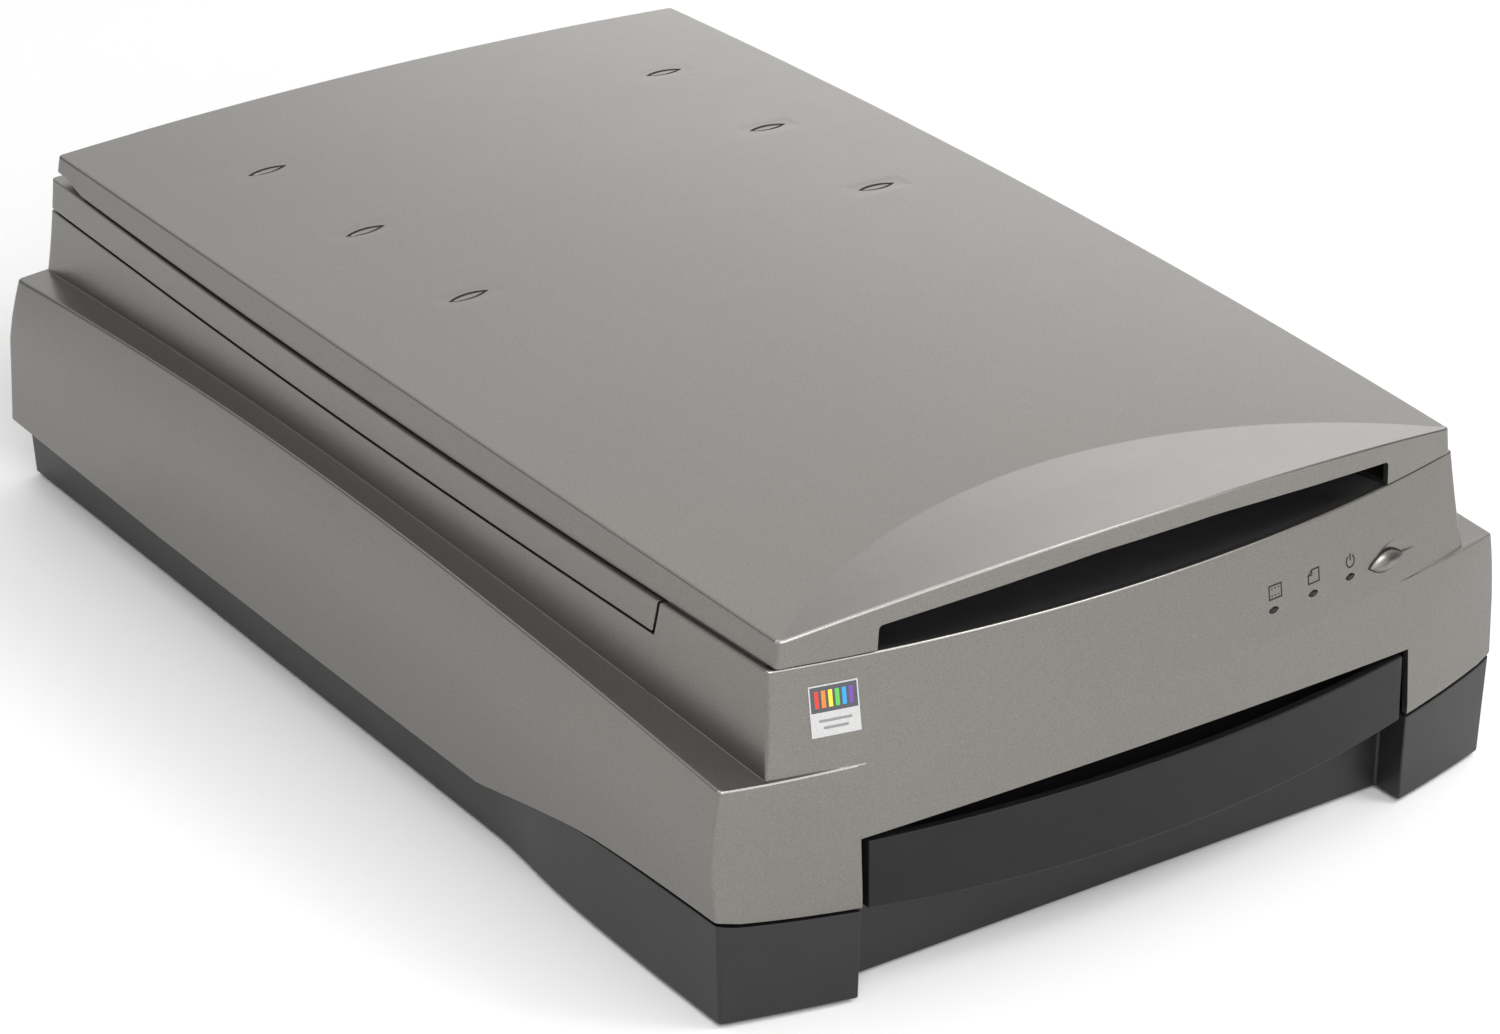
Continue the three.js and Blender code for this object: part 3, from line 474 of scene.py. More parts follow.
def crown_y(z):
    """Front face depth at the middle, by height."""
    return table(z, [(0, -30.0), (36, -30.9), (44, -31.0), (69, -29.0), (99, -25.9), (100, CREASE_CROWN),
                     (COVER_TOP, TOP_CROWN)])


def rear_y(z):
    return REAR_Y - 3.5 * np.asarray(z, float) / COVER_TOP


def ledge(x):
    """How far the lower front stands proud of the upper front, towards the corners."""
    return 1.9 * smooth(np.abs(x), 124, 184)


def split_y(z):
    """Depth of the cover's slanting step, where the glass frame's side strip begins."""
    return SPLIT_Y - 1.4 + 0.21 * (COVER_TOP - z)


def upper_x(y, z):
    """Half width of the upper body, with the cove above the shoulder."""
    low = eased(y, CREASE_Z)
    t = np.clip((z - low) / (COVER_TOP - low), 0, 1)
    bend = lerp(0.6, lerp(3.4, 0.6, smooth(y, 380, 550)), smooth(y, 0, 140))
    cove = (1 - t) * np.exp(-bend * t)
    top = eased(y, TOP_X)
    return top + (eased(y, CREASE_X) - top) * cove


def lower_x(y, z):
    """Half width of the lower body, from its lower edge to the shoulder."""
    edge_z, low = eased(y, EDGE_Z), lower_edge(SIDE_X, y)
    bulge = eased(y, BULGE_X)
    below = np.clip((BULGE_Z - z) / (BULGE_Z - low), 0, 1)
    above = np.clip((z - BULGE_Z) / (edge_z - BULGE_Z), 0, 1)
    return (bulge + (eased(y, LIP_X) - bulge) * below ** 1.5
            + (eased(y, EDGE_X) - bulge) * above ** 1.5)


def lower_edge(x, y):
    """Height of the cover's lower edge; it also drops across the front towards the opening."""
    x = np.abs(x)
    side = table(y, LOWER_EDGE)
    front = table(x, [(OPENING_HALF, 40.0), (160, 41.4), (180, 42.9), (188, 43.8), (192, 45.2)])
    return np.where(np.asarray(y) < 20, np.minimum(front, side), side)


def mirrored(right, height):
    """A closed level from the plan of its right half, front to back."""
    plan = np.array([(float(x), float(y)) for x, y in right + [(-x, y) for x, y in reversed(right[1:-1])]])
    return np.column_stack([plan, [float(height(abs(x), y)) for x, y in plan]])


def outline(front_x, side_y, rear_x, half, front, back, height, corner=1.5):
    """One level of a body outline, anticlockwise from above, from the middle of the front.
    half(y) is the half width, front(x) the front face's depth and height(x, y) the level."""
    cx = half(0.0)
    for _ in range(4):
        cy = front(cx)
        cx = half(cy)
    start = cx - corner
    right = [(x, front(x)) for x in front_x]
    last = front_x[-1]
    right += [(x, front(x)) for x in (lerp(last, start, 0.4), lerp(last, start, 0.75))]
    right += corner_curve((start, front(start)), (cx, cy), (half(cy + corner), cy + corner))
    right += [(half(y), y) for y in side_y]
    bx = half(back)
    turn = back - REAR_CORNER
    right += corner_curve((half(turn), turn), (bx, back), (bx - REAR_CORNER, back))
    right += [(x, back) for x in rear_x]
    return mirrored(right, height)


def spaced(stops):
    """Positions from a list of (end, spacing) runs, starting at 0."""
    out = [0.0]
    for end, step in stops:
        count = max(1, int(round((end - out[-1]) / step)))
        start = out[-1]
        out += [start + (end - start) * (i + 1) / count for i in range(count)]
    return out


# ---- Holes
def eye_ring(angle, cx, cz, half, rise, point=1.0):
    """Outline at the given angles: an ellipse when point is 0, a pointed oval when it is 1."""
    s = np.sin(angle)
    return cx + half * np.cos(angle), cz + rise * s * np.abs(s) ** point


def spread_angles(places, cx, cz):
    """Even angles round a rectangular boundary, measured as on a square."""
    x, z = places[:, 0] - cx, places[:, 2] - cz
    right, left, up, down = x.max(), -x.min(), z.max(), -z.min()
    return np.arctan2(np.where(z > 0, z / up, z / down), np.where(x > 0, x / right, x / left))


def face_depth(x, z):
    return arc_y(x, crown_y(z))


def on_face(xz, lift):
    """Places lifted off the upper front face."""
    x, z = np.transpose(xz)
    return columns(x, face_depth(x, z) - lift, z)


def pierce(skin, grid, cols, outer_rows, inner_rows, shape, scoop=None, rim=0.25):
    """Fills a block of the front wall's grid round an eye-shaped hole right through it.
    outer_rows and inner_rows run from low to high on the outer and inner skins."""
    cx, cz, half, rise, point = shape
    outer, inner = border(grid, cols, outer_rows), border(grid, cols, inner_rows)
    rim_places = skin.at(outer)
    angle = spread_angles(rim_places, cx, cz)
    hole = columns(*eye_ring(angle, cx, cz, half, rise, point))
    lip = columns(*eye_ring(angle, cx, cz, half + rim, rise + rim, point))
    frame_xz = rim_places[:, [0, 2]]
    reach = columns(*scoop["edge"](angle, lip)) if scoop else lip
    deep = scoop["depth"](angle) if scoop else 0.0
    loops = [outer]

    def ring(xz, sink):
        loops.append(skin.add(on_face(xz, -sink)))

    for w in (0.35, 0.7, 0.93, 1.0):
        ring(lerp(frame_xz, reach, w), 0.0)
    if scoop:
        for w in (0.06, 0.2, 0.4, 0.6, 0.8):
            ring(lerp(reach, lip, w), deep * np.sin(w * math.pi / 2) ** 0.9)
    ring(lip, deep)
    ring(lerp(lip, hole, 0.7), deep + rim * 0.3)
    ring(hole, deep + rim)
    ring(hole, np.maximum(deep + rim + 0.4, WALL))
    ring(lerp(hole, frame_xz, 0.5), WALL)
    loops.append(inner)
    skin.rings(loops[:5])
    skin.rings(loops[4:-3])
    skin.rings(loops[-4:], tag=1)


def border(grid, cols, rows):
    """Vertex numbers round a block of a grid, from its first column and row."""
    return np.array([grid[c, rows[0]] for c in cols[:-1]] + [grid[cols[-1], r] for r in rows[:-1]]
                    + [grid[c, rows[-1]] for c in cols[:0:-1]] + [grid[cols[0], r] for r in rows[:0:-1]])


def blank(mask, cols, rows):
    """Marks the grid cells of a block as left out."""
    mask[min(cols):max(cols), min(rows):max(rows)] = False


# ---- Cover
# Grid lines of the cover: across the front, along the side, across the rear and up the front face.
FRONT_X = spaced([(53.5, 6.7), (61.5, 1.0), (75.4, 2.3), (83.4, 1.0), (96.8, 2.2), (104.8, 1.0),
                  (106.0, 1.2), (135.55, 1.55), (135.65, 0.1), (143.0, 1.5), (160.0, 5.7)])
SIDE_Y = [8, 16, 26, 36, 45.5, 55, 63, SPLIT_Y, SPLIT_Y + 0.1, 80, 91, 102, 112, 121, 134, 147, 156, 161,
          163, 165, 180, *range(200, 521, 20), 536, 547]
REAR_X = [160, 150, 130, 115.4, 104.6, 80, 60, 40, 20, 0]
FACE_ROWS = [100.9, 101.9, 103.0, 104.0, 105.25, 106.5, 107.75, 109, 110, 111, 112, 113, 114, 115,
             116.5, 118, 119.5, 121, 124.4, 126, 131, 136, 140.2]
CORNER_COLUMNS = 5
HIGHLIGHT_FRONT = 3.0  # front edges ahead of this depth get the lighter paint, a painted highlight
SEAM = 0.8


def mouth(x):
    """Height of the arched edge over the drawer's opening."""
    t = np.clip((OPENING_HALF - np.abs(x)) / (2 * OPENING_HALF), 0, 1)
    return 68.8 + 7.5 * bow(t)


def cover_lip(x, y):
    return np.where((np.abs(x) < OPENING_HALF) & (np.asarray(y) < 20), mouth(x), lower_edge(x, y))


def cover_level(share, inset=0.0):
    """A level of the cover's lower wall, share of the way from its lip to the shoulder."""
    drop = inset if share == 1 else 0.0
    height = lambda x, y: lerp(cover_lip(x, y), eased(y, EDGE_Z) - drop, share)
    half = lambda y: lower_x(y, height(SIDE_X, y)) - inset

    def front(x):
        z = height(x, 0.0)
        return arc_y(x, crown_y(z)) - ledge(x) * smooth(z, 62, 99) + inset

    return outline(FRONT_X, SIDE_Y, REAR_X, half, front, rear_y(30 + 66 * share) - inset, height)


def crease_level(inset=0.0):
    """The level where the shoulder meets the upper body."""
    height = lambda x, y: eased(y, CREASE_Z) - inset * 1.06
    return outline(FRONT_X, SIDE_Y, REAR_X, lambda y: eased(y, CREASE_X) - inset,
                   lambda x: arc_y(x, CREASE_CROWN + inset), rear_y(98) - inset, height)


def upper_level(z_front, inset=0.0):
    """A level of the upper body; behind the split it ends under the glass frame's strip."""
    share = (z_front - SHOULDER_Z) / (COVER_TOP - SHOULDER_Z)
    step = float(split_y(z_front)) + 0.05
    side_y = [step - 0.05 if y == SPLIT_Y else step + 0.05 if y == SPLIT_Y + 0.1 else y for y in SIDE_Y]
    top = lambda y: COVER_TOP if y < step else SPLIT_Z - SEAM
    height = lambda x, y: lerp(eased(y, CREASE_Z), top(y), share)
    half = lambda y: upper_x(y, height(SIDE_X, y)) - inset
    return outline(FRONT_X, side_y, REAR_X, half, lambda x: arc_y(x, crown_y(z_front) + inset),
                   rear_y(lerp(98.0, SPLIT_Z, share)) - inset, height)


def cover_shell():
    """The main cover, lip to top and down its inner side, pierced for lamps, button and ports."""
    shares = [0.0, 0.03, 0.08, 0.156, 0.3, 0.45, 0.6, 0.7515, 0.88, 0.97, 1.0]
    shoulder_edge = cover_level(1.0)
    crease = crease_level()
    control = [(cover_level(s), 0.0) for s in shares[:-1]]
    control[0] = (control[0][0], 0.5)
    control += [(shoulder_edge, 1.2)] + [(lerp(shoulder_edge, crease, w), 0.0) for w in (0.14, 0.5, 0.93)]
    control += [(crease, 0.3)]
    first_face_row = len(control)
    control += [(upper_level(z), 0.0) for z in FACE_ROWS]
    rim = ((0.0, 1.1), (1.7, 0.0), (WALL, 0.4))
    control += [(upper_level(COVER_TOP, inset), trim) for inset, trim in rim]
    first_inner_row = len(control)
    control += [(upper_level(z, WALL), 0.0) for z in reversed(FACE_ROWS)]
    control += [(crease_level(WALL), 0.0), (cover_level(1.0, WALL), 0.0)]
    inner_shares = [0.88, 0.7515, 0.6, 0.45, 0.3, 0.156, 0.0]
    first_low_inner = len(control)
    control += [(cover_level(s, WALL), 0.0) for s in inner_shares]
    control[-1] = (control[-1][0], 0.4)
    steps = 4
    skin, grid, at = levelled(control, steps)
    keep = np.ones(grid.shape, bool)

    def face_block(x0, x1, z0, z1):
        cols = [i for i, x in enumerate(FRONT_X) if x0 - 1e-6 <= x <= x1 + 1e-6]
        picked = [i for i, z in enumerate(FACE_ROWS) if z0 <= z <= z1]
        rows = [at[first_face_row + i] for i in picked]
        inner = [at[first_inner_row + len(FACE_ROWS) - 1 - i] for i in picked]
        blank(keep, cols, rows)
        blank(keep, cols, inner)
        return cols, rows, inner

    for x in LED_X:
        pierce(skin, grid, *face_block(x - 4, x + 4, 109, 115),
               (x, LED_Z, LED_EYE[0] + LED_GAP, LED_EYE[1] + LED_GAP, LED_EYE[2]), rim=LED_GAP)
    pierce(skin, grid, *face_block(106, 143, 104, 121),
           (BUTTON["x"], BUTTON["z"], BUTTON["half"] + 0.35, BUTTON["rise"] + 0.3, 1.0),
           scoop={"edge": scoop_edge, "depth": scoop_depth})
    start = len(FRONT_X) + 2 + CORNER_COLUMNS + len(SIDE_Y) + CORNER_COLUMNS
    cols = [start + REAR_X.index(150), start + REAR_X.index(40)]
    low, high = at[shares.index(0.156)], at[shares.index(0.7515)]
    in_high = at[first_low_inner + inner_shares.index(0.7515)]
    in_low = at[first_low_inner + inner_shares.index(0.156)]
    blank(keep, cols, [low, high])
    blank(keep, cols, [in_low, in_high])
    span = range(cols[0], cols[1] + 1)
    outer_rows, inner_rows = range(low, high + 1), range(in_low, in_high - 1, -1)
    skin.rings([border(grid, span, rows) for rows in (outer_rows, inner_rows)], tag=1)
    cells = quads(grid, close_u=True, close_v=True)
    inside = np.zeros(grid.shape, int)
    inside[:, at[first_inner_row]:at[-2]] = 1
    centre = skin.at(cells).mean(axis=-2)
    # Tag 2 gives the front strips of the shoulder edge (left of x = -133) and of the top edge the lighter
    # paint: a painted highlight.
    for first, ends in ((at[len(shares) - 1], -133), (at[first_face_row + len(FACE_ROWS)], 200)):
        band = np.zeros(grid.shape, bool)
        band[:, first:first + steps] = True
        inside[band & (centre[..., 1] < HIGHLIGHT_FRONT) & (centre[..., 0] < ends)] = 2
    for tag in (0, 1, 2):
        skin.face(cells[keep & (inside == tag)], tag)
    piece("cover_shell", skin, "root", [CASING, INNER_AND_SHADE, PAINTED_HIGHLIGHT], ["main_cover"])


def scoop_weight(angle):
    """How strongly the hollow beside the button opens to the right, by angle round it."""
    degrees = np.degrees(angle)
    return smooth(degrees, -16, 2) * (1 - smooth(degrees, 20, 104))


def scoop_edge(angle, lip):
    degrees = np.degrees(angle)
    lift = smooth(degrees, 0, 44) * (1 - smooth(degrees, 66, 128))
    return lip[:, 0] + 7.0 * scoop_weight(angle), lip[:, 1] + 2.9 * lift - 0.3 * scoop_weight(angle)


def scoop_depth(angle):
    return 1.2 * smooth(np.degrees(angle), -14, 12) * (1 - smooth(np.degrees(angle), 52, 120))


def power_button():
    """The pointed-oval button cap, domed towards its middle."""
    angle = around(72)
    skin = Skin()
    x, z = eye_ring(angle, BUTTON["x"], BUTTON["z"], BUTTON["half"], BUTTON["rise"])
    depth = face_depth(BUTTON["x"], BUTTON["z"]) + BUTTON["depth"]
    loops = [skin.add(columns(x, depth, z))]
    for size in (1.0, 0.985, 0.95, 0.88, 0.78, 0.66, 0.52, 0.38, 0.24, 0.12):
        px, pz = lerp(BUTTON["x"], x, size), lerp(BUTTON["z"], z, size)
        dome = BUTTON["proud"] + BUTTON["dome"] * (1 - size ** 2) ** 0.8
        loops.append(skin.add(on_face(columns(px, pz), dome)))
    skin.stack(loops)
    piece("button_cap", skin, "power_button", CASING, ["power_button"], sharp=50)


# ---- Straight-sided pieces
def rectangle(x0, x1, y0, y1):
    return [(x0, y0), (x1, y0), (x1, y1), (x0, y1)]


def both_sides(right):
    """Positions across the whole width, from those of the right half."""
    return np.array([-x for x in reversed(right[1:])] + right)


def extrusion(name, plan, low, high, slot, material, along="z", edge=0.4):
    """A flat outline given depth along z or y, with its edges bevelled."""
    skin = Skin()
    a, b = np.transpose(plan)
    skin.stack([skin.add(columns(a, b, h) if along == "z" else columns(a, h, b)) for h in (low, high)])
    soften(piece(name, skin, "root", material, weighted=False), edge)


def soften(obj, edge):
    """Gives a blocky piece rounded edges of the given width."""
    modify(obj, "edge_radius", "BEVEL", width=edge * MM, segments=2, limit_method="ANGLE",
           angle_limit=math.radians(35.0), harden_normals=False)
    modify(obj, "even_normals", "WEIGHTED_NORMAL", keep_sharp=False)


def cover_deck():
    """The deck round the finger grip, under the closed lid."""
    xs = np.linspace(126.5, 160, 8)
    front = [(x, arc_y(x, TOP_CROWN + WALL + 0.15)) for x in xs]
    rear = float(split_y(COVER_TOP)) - GAP
    side = [(float(eased(y, TOP_X)) - WALL - 0.15, y) for y in (7.5, 20, 35, 50, rear)]
    right = [(126.5, 42.4)] + front + side
    plan = right + [(-x, y) for x, y in reversed(right)]
    extrusion("cover_deck", plan, COVER_TOP - 2.7, COVER_TOP - 0.05, "casing", CASING, edge=0.3)


GRIP_REAR, GRIP_FOOT = 40.0, 126.0


def grip_scoop():
    """The finger hollow behind the front wall: a floor that falls away, and an upright rear wall."""
    x = np.linspace(-126, 126, 65)
    ends = smooth(126 - np.abs(x), 0, 14)
    front = arc_y(x, TOP_CROWN + WALL + 0.3)
    rows = [columns(x, front, GRIP_FOOT)]
    for share in np.linspace(0, 1, 21):
        fall = 11.3 * math.sin(min(1.0, share * 1.25) * math.pi / 2) ** 0.9
        rows.append(columns(x, lerp(front, GRIP_REAR, share), COVER_TOP - 0.9 - fall * lerp(0.25, 1, ends)))
    rows += [columns(x, y, z) for y, z in
             ((GRIP_REAR, COVER_TOP - 0.7), (GRIP_REAR + 1.9, COVER_TOP - 0.7), (GRIP_REAR + 1.9, GRIP_FOOT))]
    trims = [0.0, 0.5] + [0.0] * 19 + [1.2, 0.5, 0.5, 0.0]
    skin = Skin()
    skin.bar(rounded(np.stack(rows, axis=1), trims, 3))
    piece("grip_scoop", skin, "root", GREY, ["grip_recess"], sharp=50)


# ---- Glass frame
SLEEVE_FOOT = 86.0


def glass_frame():
    """The frame round the glass, with its two hinge sleeves."""
    front_x = spaced([(160, 20)])
    side_y = [80, 100] + list(range(120, 541, 20)) + [547]

    def level(z, inset=0.0):
        front_y = float(split_y(z)) + 2.0
        return outline(front_x, side_y, REAR_X, lambda y: upper_x(y, z) - inset, lambda x: front_y + inset,
                       float(rear_y(z)) - inset, lambda x, y: z, corner=0.8)

    top = level(COVER_TOP)

    def clamp(half, front, rear, z):
        return columns(np.clip(top[:, 0], -half, half), np.clip(top[:, 1], front, rear), z)

    under = GLASS_TOP - 4.3
    ledge_z = GLASS_TOP - 3.3
    outside, hinges, window, rest = (150, 76, 549.4), (128, 80, 542.6), (116, 84, 522), (110, 90, 516)
    control = [(level(SPLIT_Z + GAP), 0.45), (level(134.0), 0), (top, 0.6)]
    control += [(clamp(*ring, z), trim) for ring, z, trim in
                ((outside, COVER_TOP, 0), (hinges, COVER_TOP, 0), (window, COVER_TOP, 0.8),
                 (window, ledge_z, 0), (rest, ledge_z, 0.3), (rest, under, 0.3), (hinges, under, 0),
                 (outside, under, 0))]
    control += [(level(under, WALL), 0), (level(SPLIT_Z + GAP, WALL), 0.3)]
    skin, grid, at = levelled(control, 4)
    keep = np.ones(grid.shape, bool)
    count = len(top)
    right = len(front_x) + 2 + CORNER_COLUMNS + len(side_y) + CORNER_COLUMNS
    c0, c1 = right + REAR_X.index(115.4), right + REAR_X.index(104.6)
    for a, b in ((c0, c1), (count - c1, count - c0)):
        blank(keep, [a, b], [at[3], at[4]])
        blank(keep, [a, b], [at[9], at[10]])
        corners = lambda near, far: np.array([grid[a, near], grid[b, near], grid[b, far], grid[a, far]])
        skin.rings([corners(at[3], at[4]), corners(at[10], at[9])])
    skin.face(quads(grid, close_u=True, close_v=True)[keep])
    piece("glass_frame_shell", skin, "root", CASING, ["glass_frame"])
    for side, word in ((-1, "left"), (1, "right")):
        x = side * HINGE_X
        tube = Skin()
        outside, hole = rectangle(x - 9, x + 9, 537, 550.5), rectangle(x - 5.4, x + 5.4, 542.6, 549.4)
        loops = [tube.add([(*place, z) for place in plan]) for plan, z in
                 ((outside, SLEEVE_FOOT), (outside, under - 0.1), (hole, under - 0.1), (hole, SLEEVE_FOOT))]
        tube.rings(loops + [loops[0]])
        soften(piece("hinge_sleeve_" + word, tube, "root", INNER_AND_SHADE, weighted=False), 0.4)


# ---- Lid
EDGE_INSET = 2.5
INNER_X = 160.0  # where the height of the lid's side wall is read
RECESS_X = {-1: -101.2, 1: 108.3}
RECESS_Y = (310.3, 392.3, 474.4)
# Each profile row: how far in along the length and the width, how deep, and which material. Material 1 on the
# dish's walls is the dark inner plastic, painted shade in the groove.
RECESS = {"half": 9.7, "rise": 2.9,
          "profile": [(0.0, 0.0, 0.06, 0), (0.1, 0.04, 0.3, 1), (2.7, 1.5, 0.34, 1), (2.9, 1.6, 0.12, 0),
                      (4.0, 1.9, 0.18, 0), (5.6, 2.3, 0.22, 0)]}


def lid_front(x):
    return arc_y(x, -19.3)


def lid_crease(x):
    inner = np.clip(1 - (np.abs(x) / LID_HALF) ** 2, 0, 1)
    return np.maximum(lid_front(x) + 3.0, 55.5 * inner ** 0.93)


def lid_height(x, y):
    t = np.clip(np.asarray(y) / LID_LENGTH, 0, 1)
    across = 1 - (np.asarray(x) / LID_HALF) ** 2
    return LID_CORNER + 3.8 * bow(t) + 5.0 * across + 0.160 * np.maximum(0, lid_crease(x) - y)


def lid_swell(x, y):
    t = np.clip(np.asarray(y) / LID_LENGTH, 0, 1)
    return np.asarray(x) * (1 + 5.0 * bow(t) / LID_HALF)


def slot_top(x):
    """Upper edge of the finger slot, with rounded ends."""
    x = np.abs(x)
    arch = table(x, [(0, 160.9), (29, 160.7), (47, 159.5), (60, 158.6), (74, 157.4), (91, 155.9),
                     (106, 154.4), (122, 152.6), (126, 152.2)])
    r = 1.8
    into = np.clip(x - (SLOT_HALF - 0.2 - r), 0, r)
    return arch - (r - np.sqrt(np.maximum(0, r * r - into * into)))


def lid_foot(x, y):
    """Height of the lid's lower edge."""
    x = np.abs(x)
    rear = LID_BOTTOM + 3.6 * smooth(y, 526, 540)
    foot = np.where(np.asarray(y) > 300, rear, LID_BOTTOM)
    foot = np.where((x < SLOT_HALF) & (np.asarray(y) < 12), slot_top(x), foot)
    pocket = (np.abs(x - HINGE_X) < 14.3) & (np.asarray(y) > 545)
    return np.where(pocket, lid_height(x, y) - 2.8, foot)


def lid_shell():
    """The lid's top, its six dished lens recesses and its short side walls."""
    right = spaced([(82, 8.2), (120.5, 2.75), (121.6, 1.1), (122.6, 1.0), (123.4, 0.8), (124.0, 0.6),
                    (124.28, 0.28), (124.7, 0.42), (128, 3.3), (158, 6.0), (LID_HALF - EDGE_INSET, 3.2)])
    xs = both_sides(right)
    visor = [0.0, 0.1, 0.25, 0.42, 0.6, 0.78, 0.92, 0.975, 1.0]
    straight = [112, 130, 155, 185, 215, 245, 275]
    for y in RECESS_Y:
        straight += [y + d for d in (-16, -8, -6, -4.5, -3, -1.5, 0, 1.5, 3, 4.5, 6, 8, 16)]
    straight += [505, 518, 526, 533, 540, LID_LENGTH - EDGE_INSET]
    rows = [lerp(lid_front(xs) + EDGE_INSET, lid_crease(xs), w) for w in visor]
    rows += [lerp(lid_crease(xs), straight[0], w) for w in (0.008, 0.02, 0.1, 0.25, 0.45, 0.7)]
    rows += [np.full(len(xs), float(y)) for y in straight]
    y = np.stack(rows, axis=1)
    x = np.repeat(xs[:, None], y.shape[1], axis=1)
    top = np.stack([lid_swell(x, y), y, lid_height(x, y)], axis=-1)
    under = top - np.array([0, 0, LID_THICK])
    skin = Skin()
    grid, inner = skin.add(top), skin.add(under)
    keep = np.ones((len(xs) - 1, y.shape[1] - 1), bool)
    for cy in RECESS_Y:
        for side in (-1, 1):
            lens_recess(skin, grid, keep, xs, y[0], RECESS_X[side], cy)
    skin.face(quads(grid)[keep])
    # The underside is the dark inner plastic: unpainted, and also painted shade seen through the finger slot.
    skin.face(quads(inner)[..., ::-1], 1)

    last_c, last_r = grid.shape[0] - 1, grid.shape[1] - 1
    edge = lambda px, py: (float(lid_swell(px, py)), float(py), float(lid_height(px, py)))
    mirror = lambda p: (-p[0], p[1], p[2])
    front = [(edge(px, lid_front(px)), (i, 0), px) for i, px in enumerate(xs)]
    side = [(edge(LID_HALF, py), (last_c, j), INNER_X) for j, py in enumerate(y[-1])]
    rear = [(edge(px, LID_LENGTH), (i, last_r), px) for i, px in enumerate(xs)][::-1]
    left = [(mirror(p), (0, j), INNER_X) for p, (_, j), _ in side[::-1]]
    run = []
    for stretch, after, sharp, cell in (
            (front, side, (LID_HALF, lid_front(LID_HALF)), (last_c, 0)),
            (side, rear, (LID_HALF, LID_LENGTH), (last_c, last_r)),
            (rear, left, (-LID_HALF, LID_LENGTH), (0, last_r)),
            (left, front, (-LID_HALF, lid_front(LID_HALF)), (0, 0))):
        corner = corner_curve(stretch[-1][0], edge(*sharp), after[0][0], 5)[1:-1]
        run += stretch + [(place, cell, INNER_X) for place in corner]
    outer = np.array([p for p, _, _ in run])
    cells = np.array([cell for _, cell, _ in run])
    grid_edge, inner_edge = grid[cells[:, 0], cells[:, 1]], inner[cells[:, 0], cells[:, 1]]
    places = skin.at(grid_edge)
    foot = np.array([float(lid_foot(fx, p[1])) for p, _, fx in run])
    lean = columns(1.2 * np.sign(outer[:, 0]) * (np.abs(outer[:, 0]) > 158),
                   np.where(outer[:, 1] < 12, -0.25, 0.0), 0.0)
    low_outer = outer + lean
    low_outer[:, 2] = foot
    low_inner = places.copy()
    low_inner[:, 2] = np.minimum(foot, skin.at(inner_edge)[:, 2] - 0.02)
    control = np.stack([places, outer, lerp(outer, low_outer, 0.5), low_outer, low_inner], axis=1)
    wall = rounded(control, [0, 1.0, 0, 0.6, 0], steps=5, closed=False)
    loops = [grid_edge] + [skin.add(wall[:, i]) for i in range(1, wall.shape[1])]
    skin.rings(loops[:2])
    # The front strips of the lid's rounded top edge get the lighter paint, a painted highlight.
    for ring in (quads(np.stack(pair, axis=1), close_u=True) for pair in zip(loops[1:6], loops[2:7])):
        highlighted = skin.at(ring).mean(axis=-2)[..., 1] < HIGHLIGHT_FRONT
        skin.face(ring[highlighted], 2)
        skin.face(ring[~highlighted])
    skin.rings(loops[6:])
    skin.rings([loops[-1], inner_edge], tag=1)
    piece("lid_cover", skin, "lid", [CASING, INNER_AND_SHADE, PAINTED_HIGHLIGHT], ["lid_shell"], sharp=35)


def lens_recess(skin, grid, keep, xs, ys, cx, cy):
    """A shallow pointed-oval dish pressed into the lid's top."""
    centre = lid_swell(xs, cy)
    c0, c1 = (int(np.argmin(np.abs(centre - (cx + d)))) for d in (-15.5, 15.5))
    r0, r1 = (int(np.argmin(np.abs(ys - (cy + d)))) for d in (-6, 6))
    blank(keep, [c0, c1], [r0, r1])
    loop = border(grid, range(c0, c1 + 1), range(r0, r1 + 1))
    places = skin.at(loop)
    x, y = places[:, 0] - cx, places[:, 1] - cy
    angle = np.arctan2(y / 6.0, x / np.where(x > 0, x.max(), -x.min()))
    loops = [loop]

    def ring(px, py, sink):
        loops.append(skin.add(columns(px, py, lid_height(px, py) - sink)))

    def lens(shrink_x, shrink_y):
        return eye_ring(angle, cx, cy, RECESS["half"] - shrink_x, RECESS["rise"] - shrink_y, 0.8)

    ex, ey = lens(-0.2, -0.12)
    for w in (0.4, 0.8, 1.0):
        ring(lerp(places[:, 0], ex, w), lerp(places[:, 1], ey, w), 0.0)
    tags = [0, 0, 0]
    for inset_x, inset_y, sink, tag in RECESS["profile"]:
        ring(*lens(inset_x, inset_y), sink)
        tags.append(tag)
    # Rings tagged 1 get the dark inner plastic: painted shade on the dish's walls.
    for a, b, tag in zip(loops[:-1], loops[1:], tags):
        skin.rings([a, b], tag)
    skin.cap(loops[-1])


# ---- Base
BASE_X = [(-20, 190.6), (30, 190.6), (49, 190.4), (67, 190.0), (85, 189.5), (99, 188.85), (113, 188.0),
          (126, 186.75), (139, 185.2), (150, 184.2), (160, 183.5), (238, 182.6), (319, 181.9), (496, 179.8),
          (557, 179.3)]
BASE_LEAN = [(0, 3.6), (60, 3.5), (113, 3.8), (160, 4.6), (238, 5.2), (557, 5.6)]


def base_half(y, share):
    return table(y, BASE_X) + share * table(y, BASE_LEAN) * 0.5


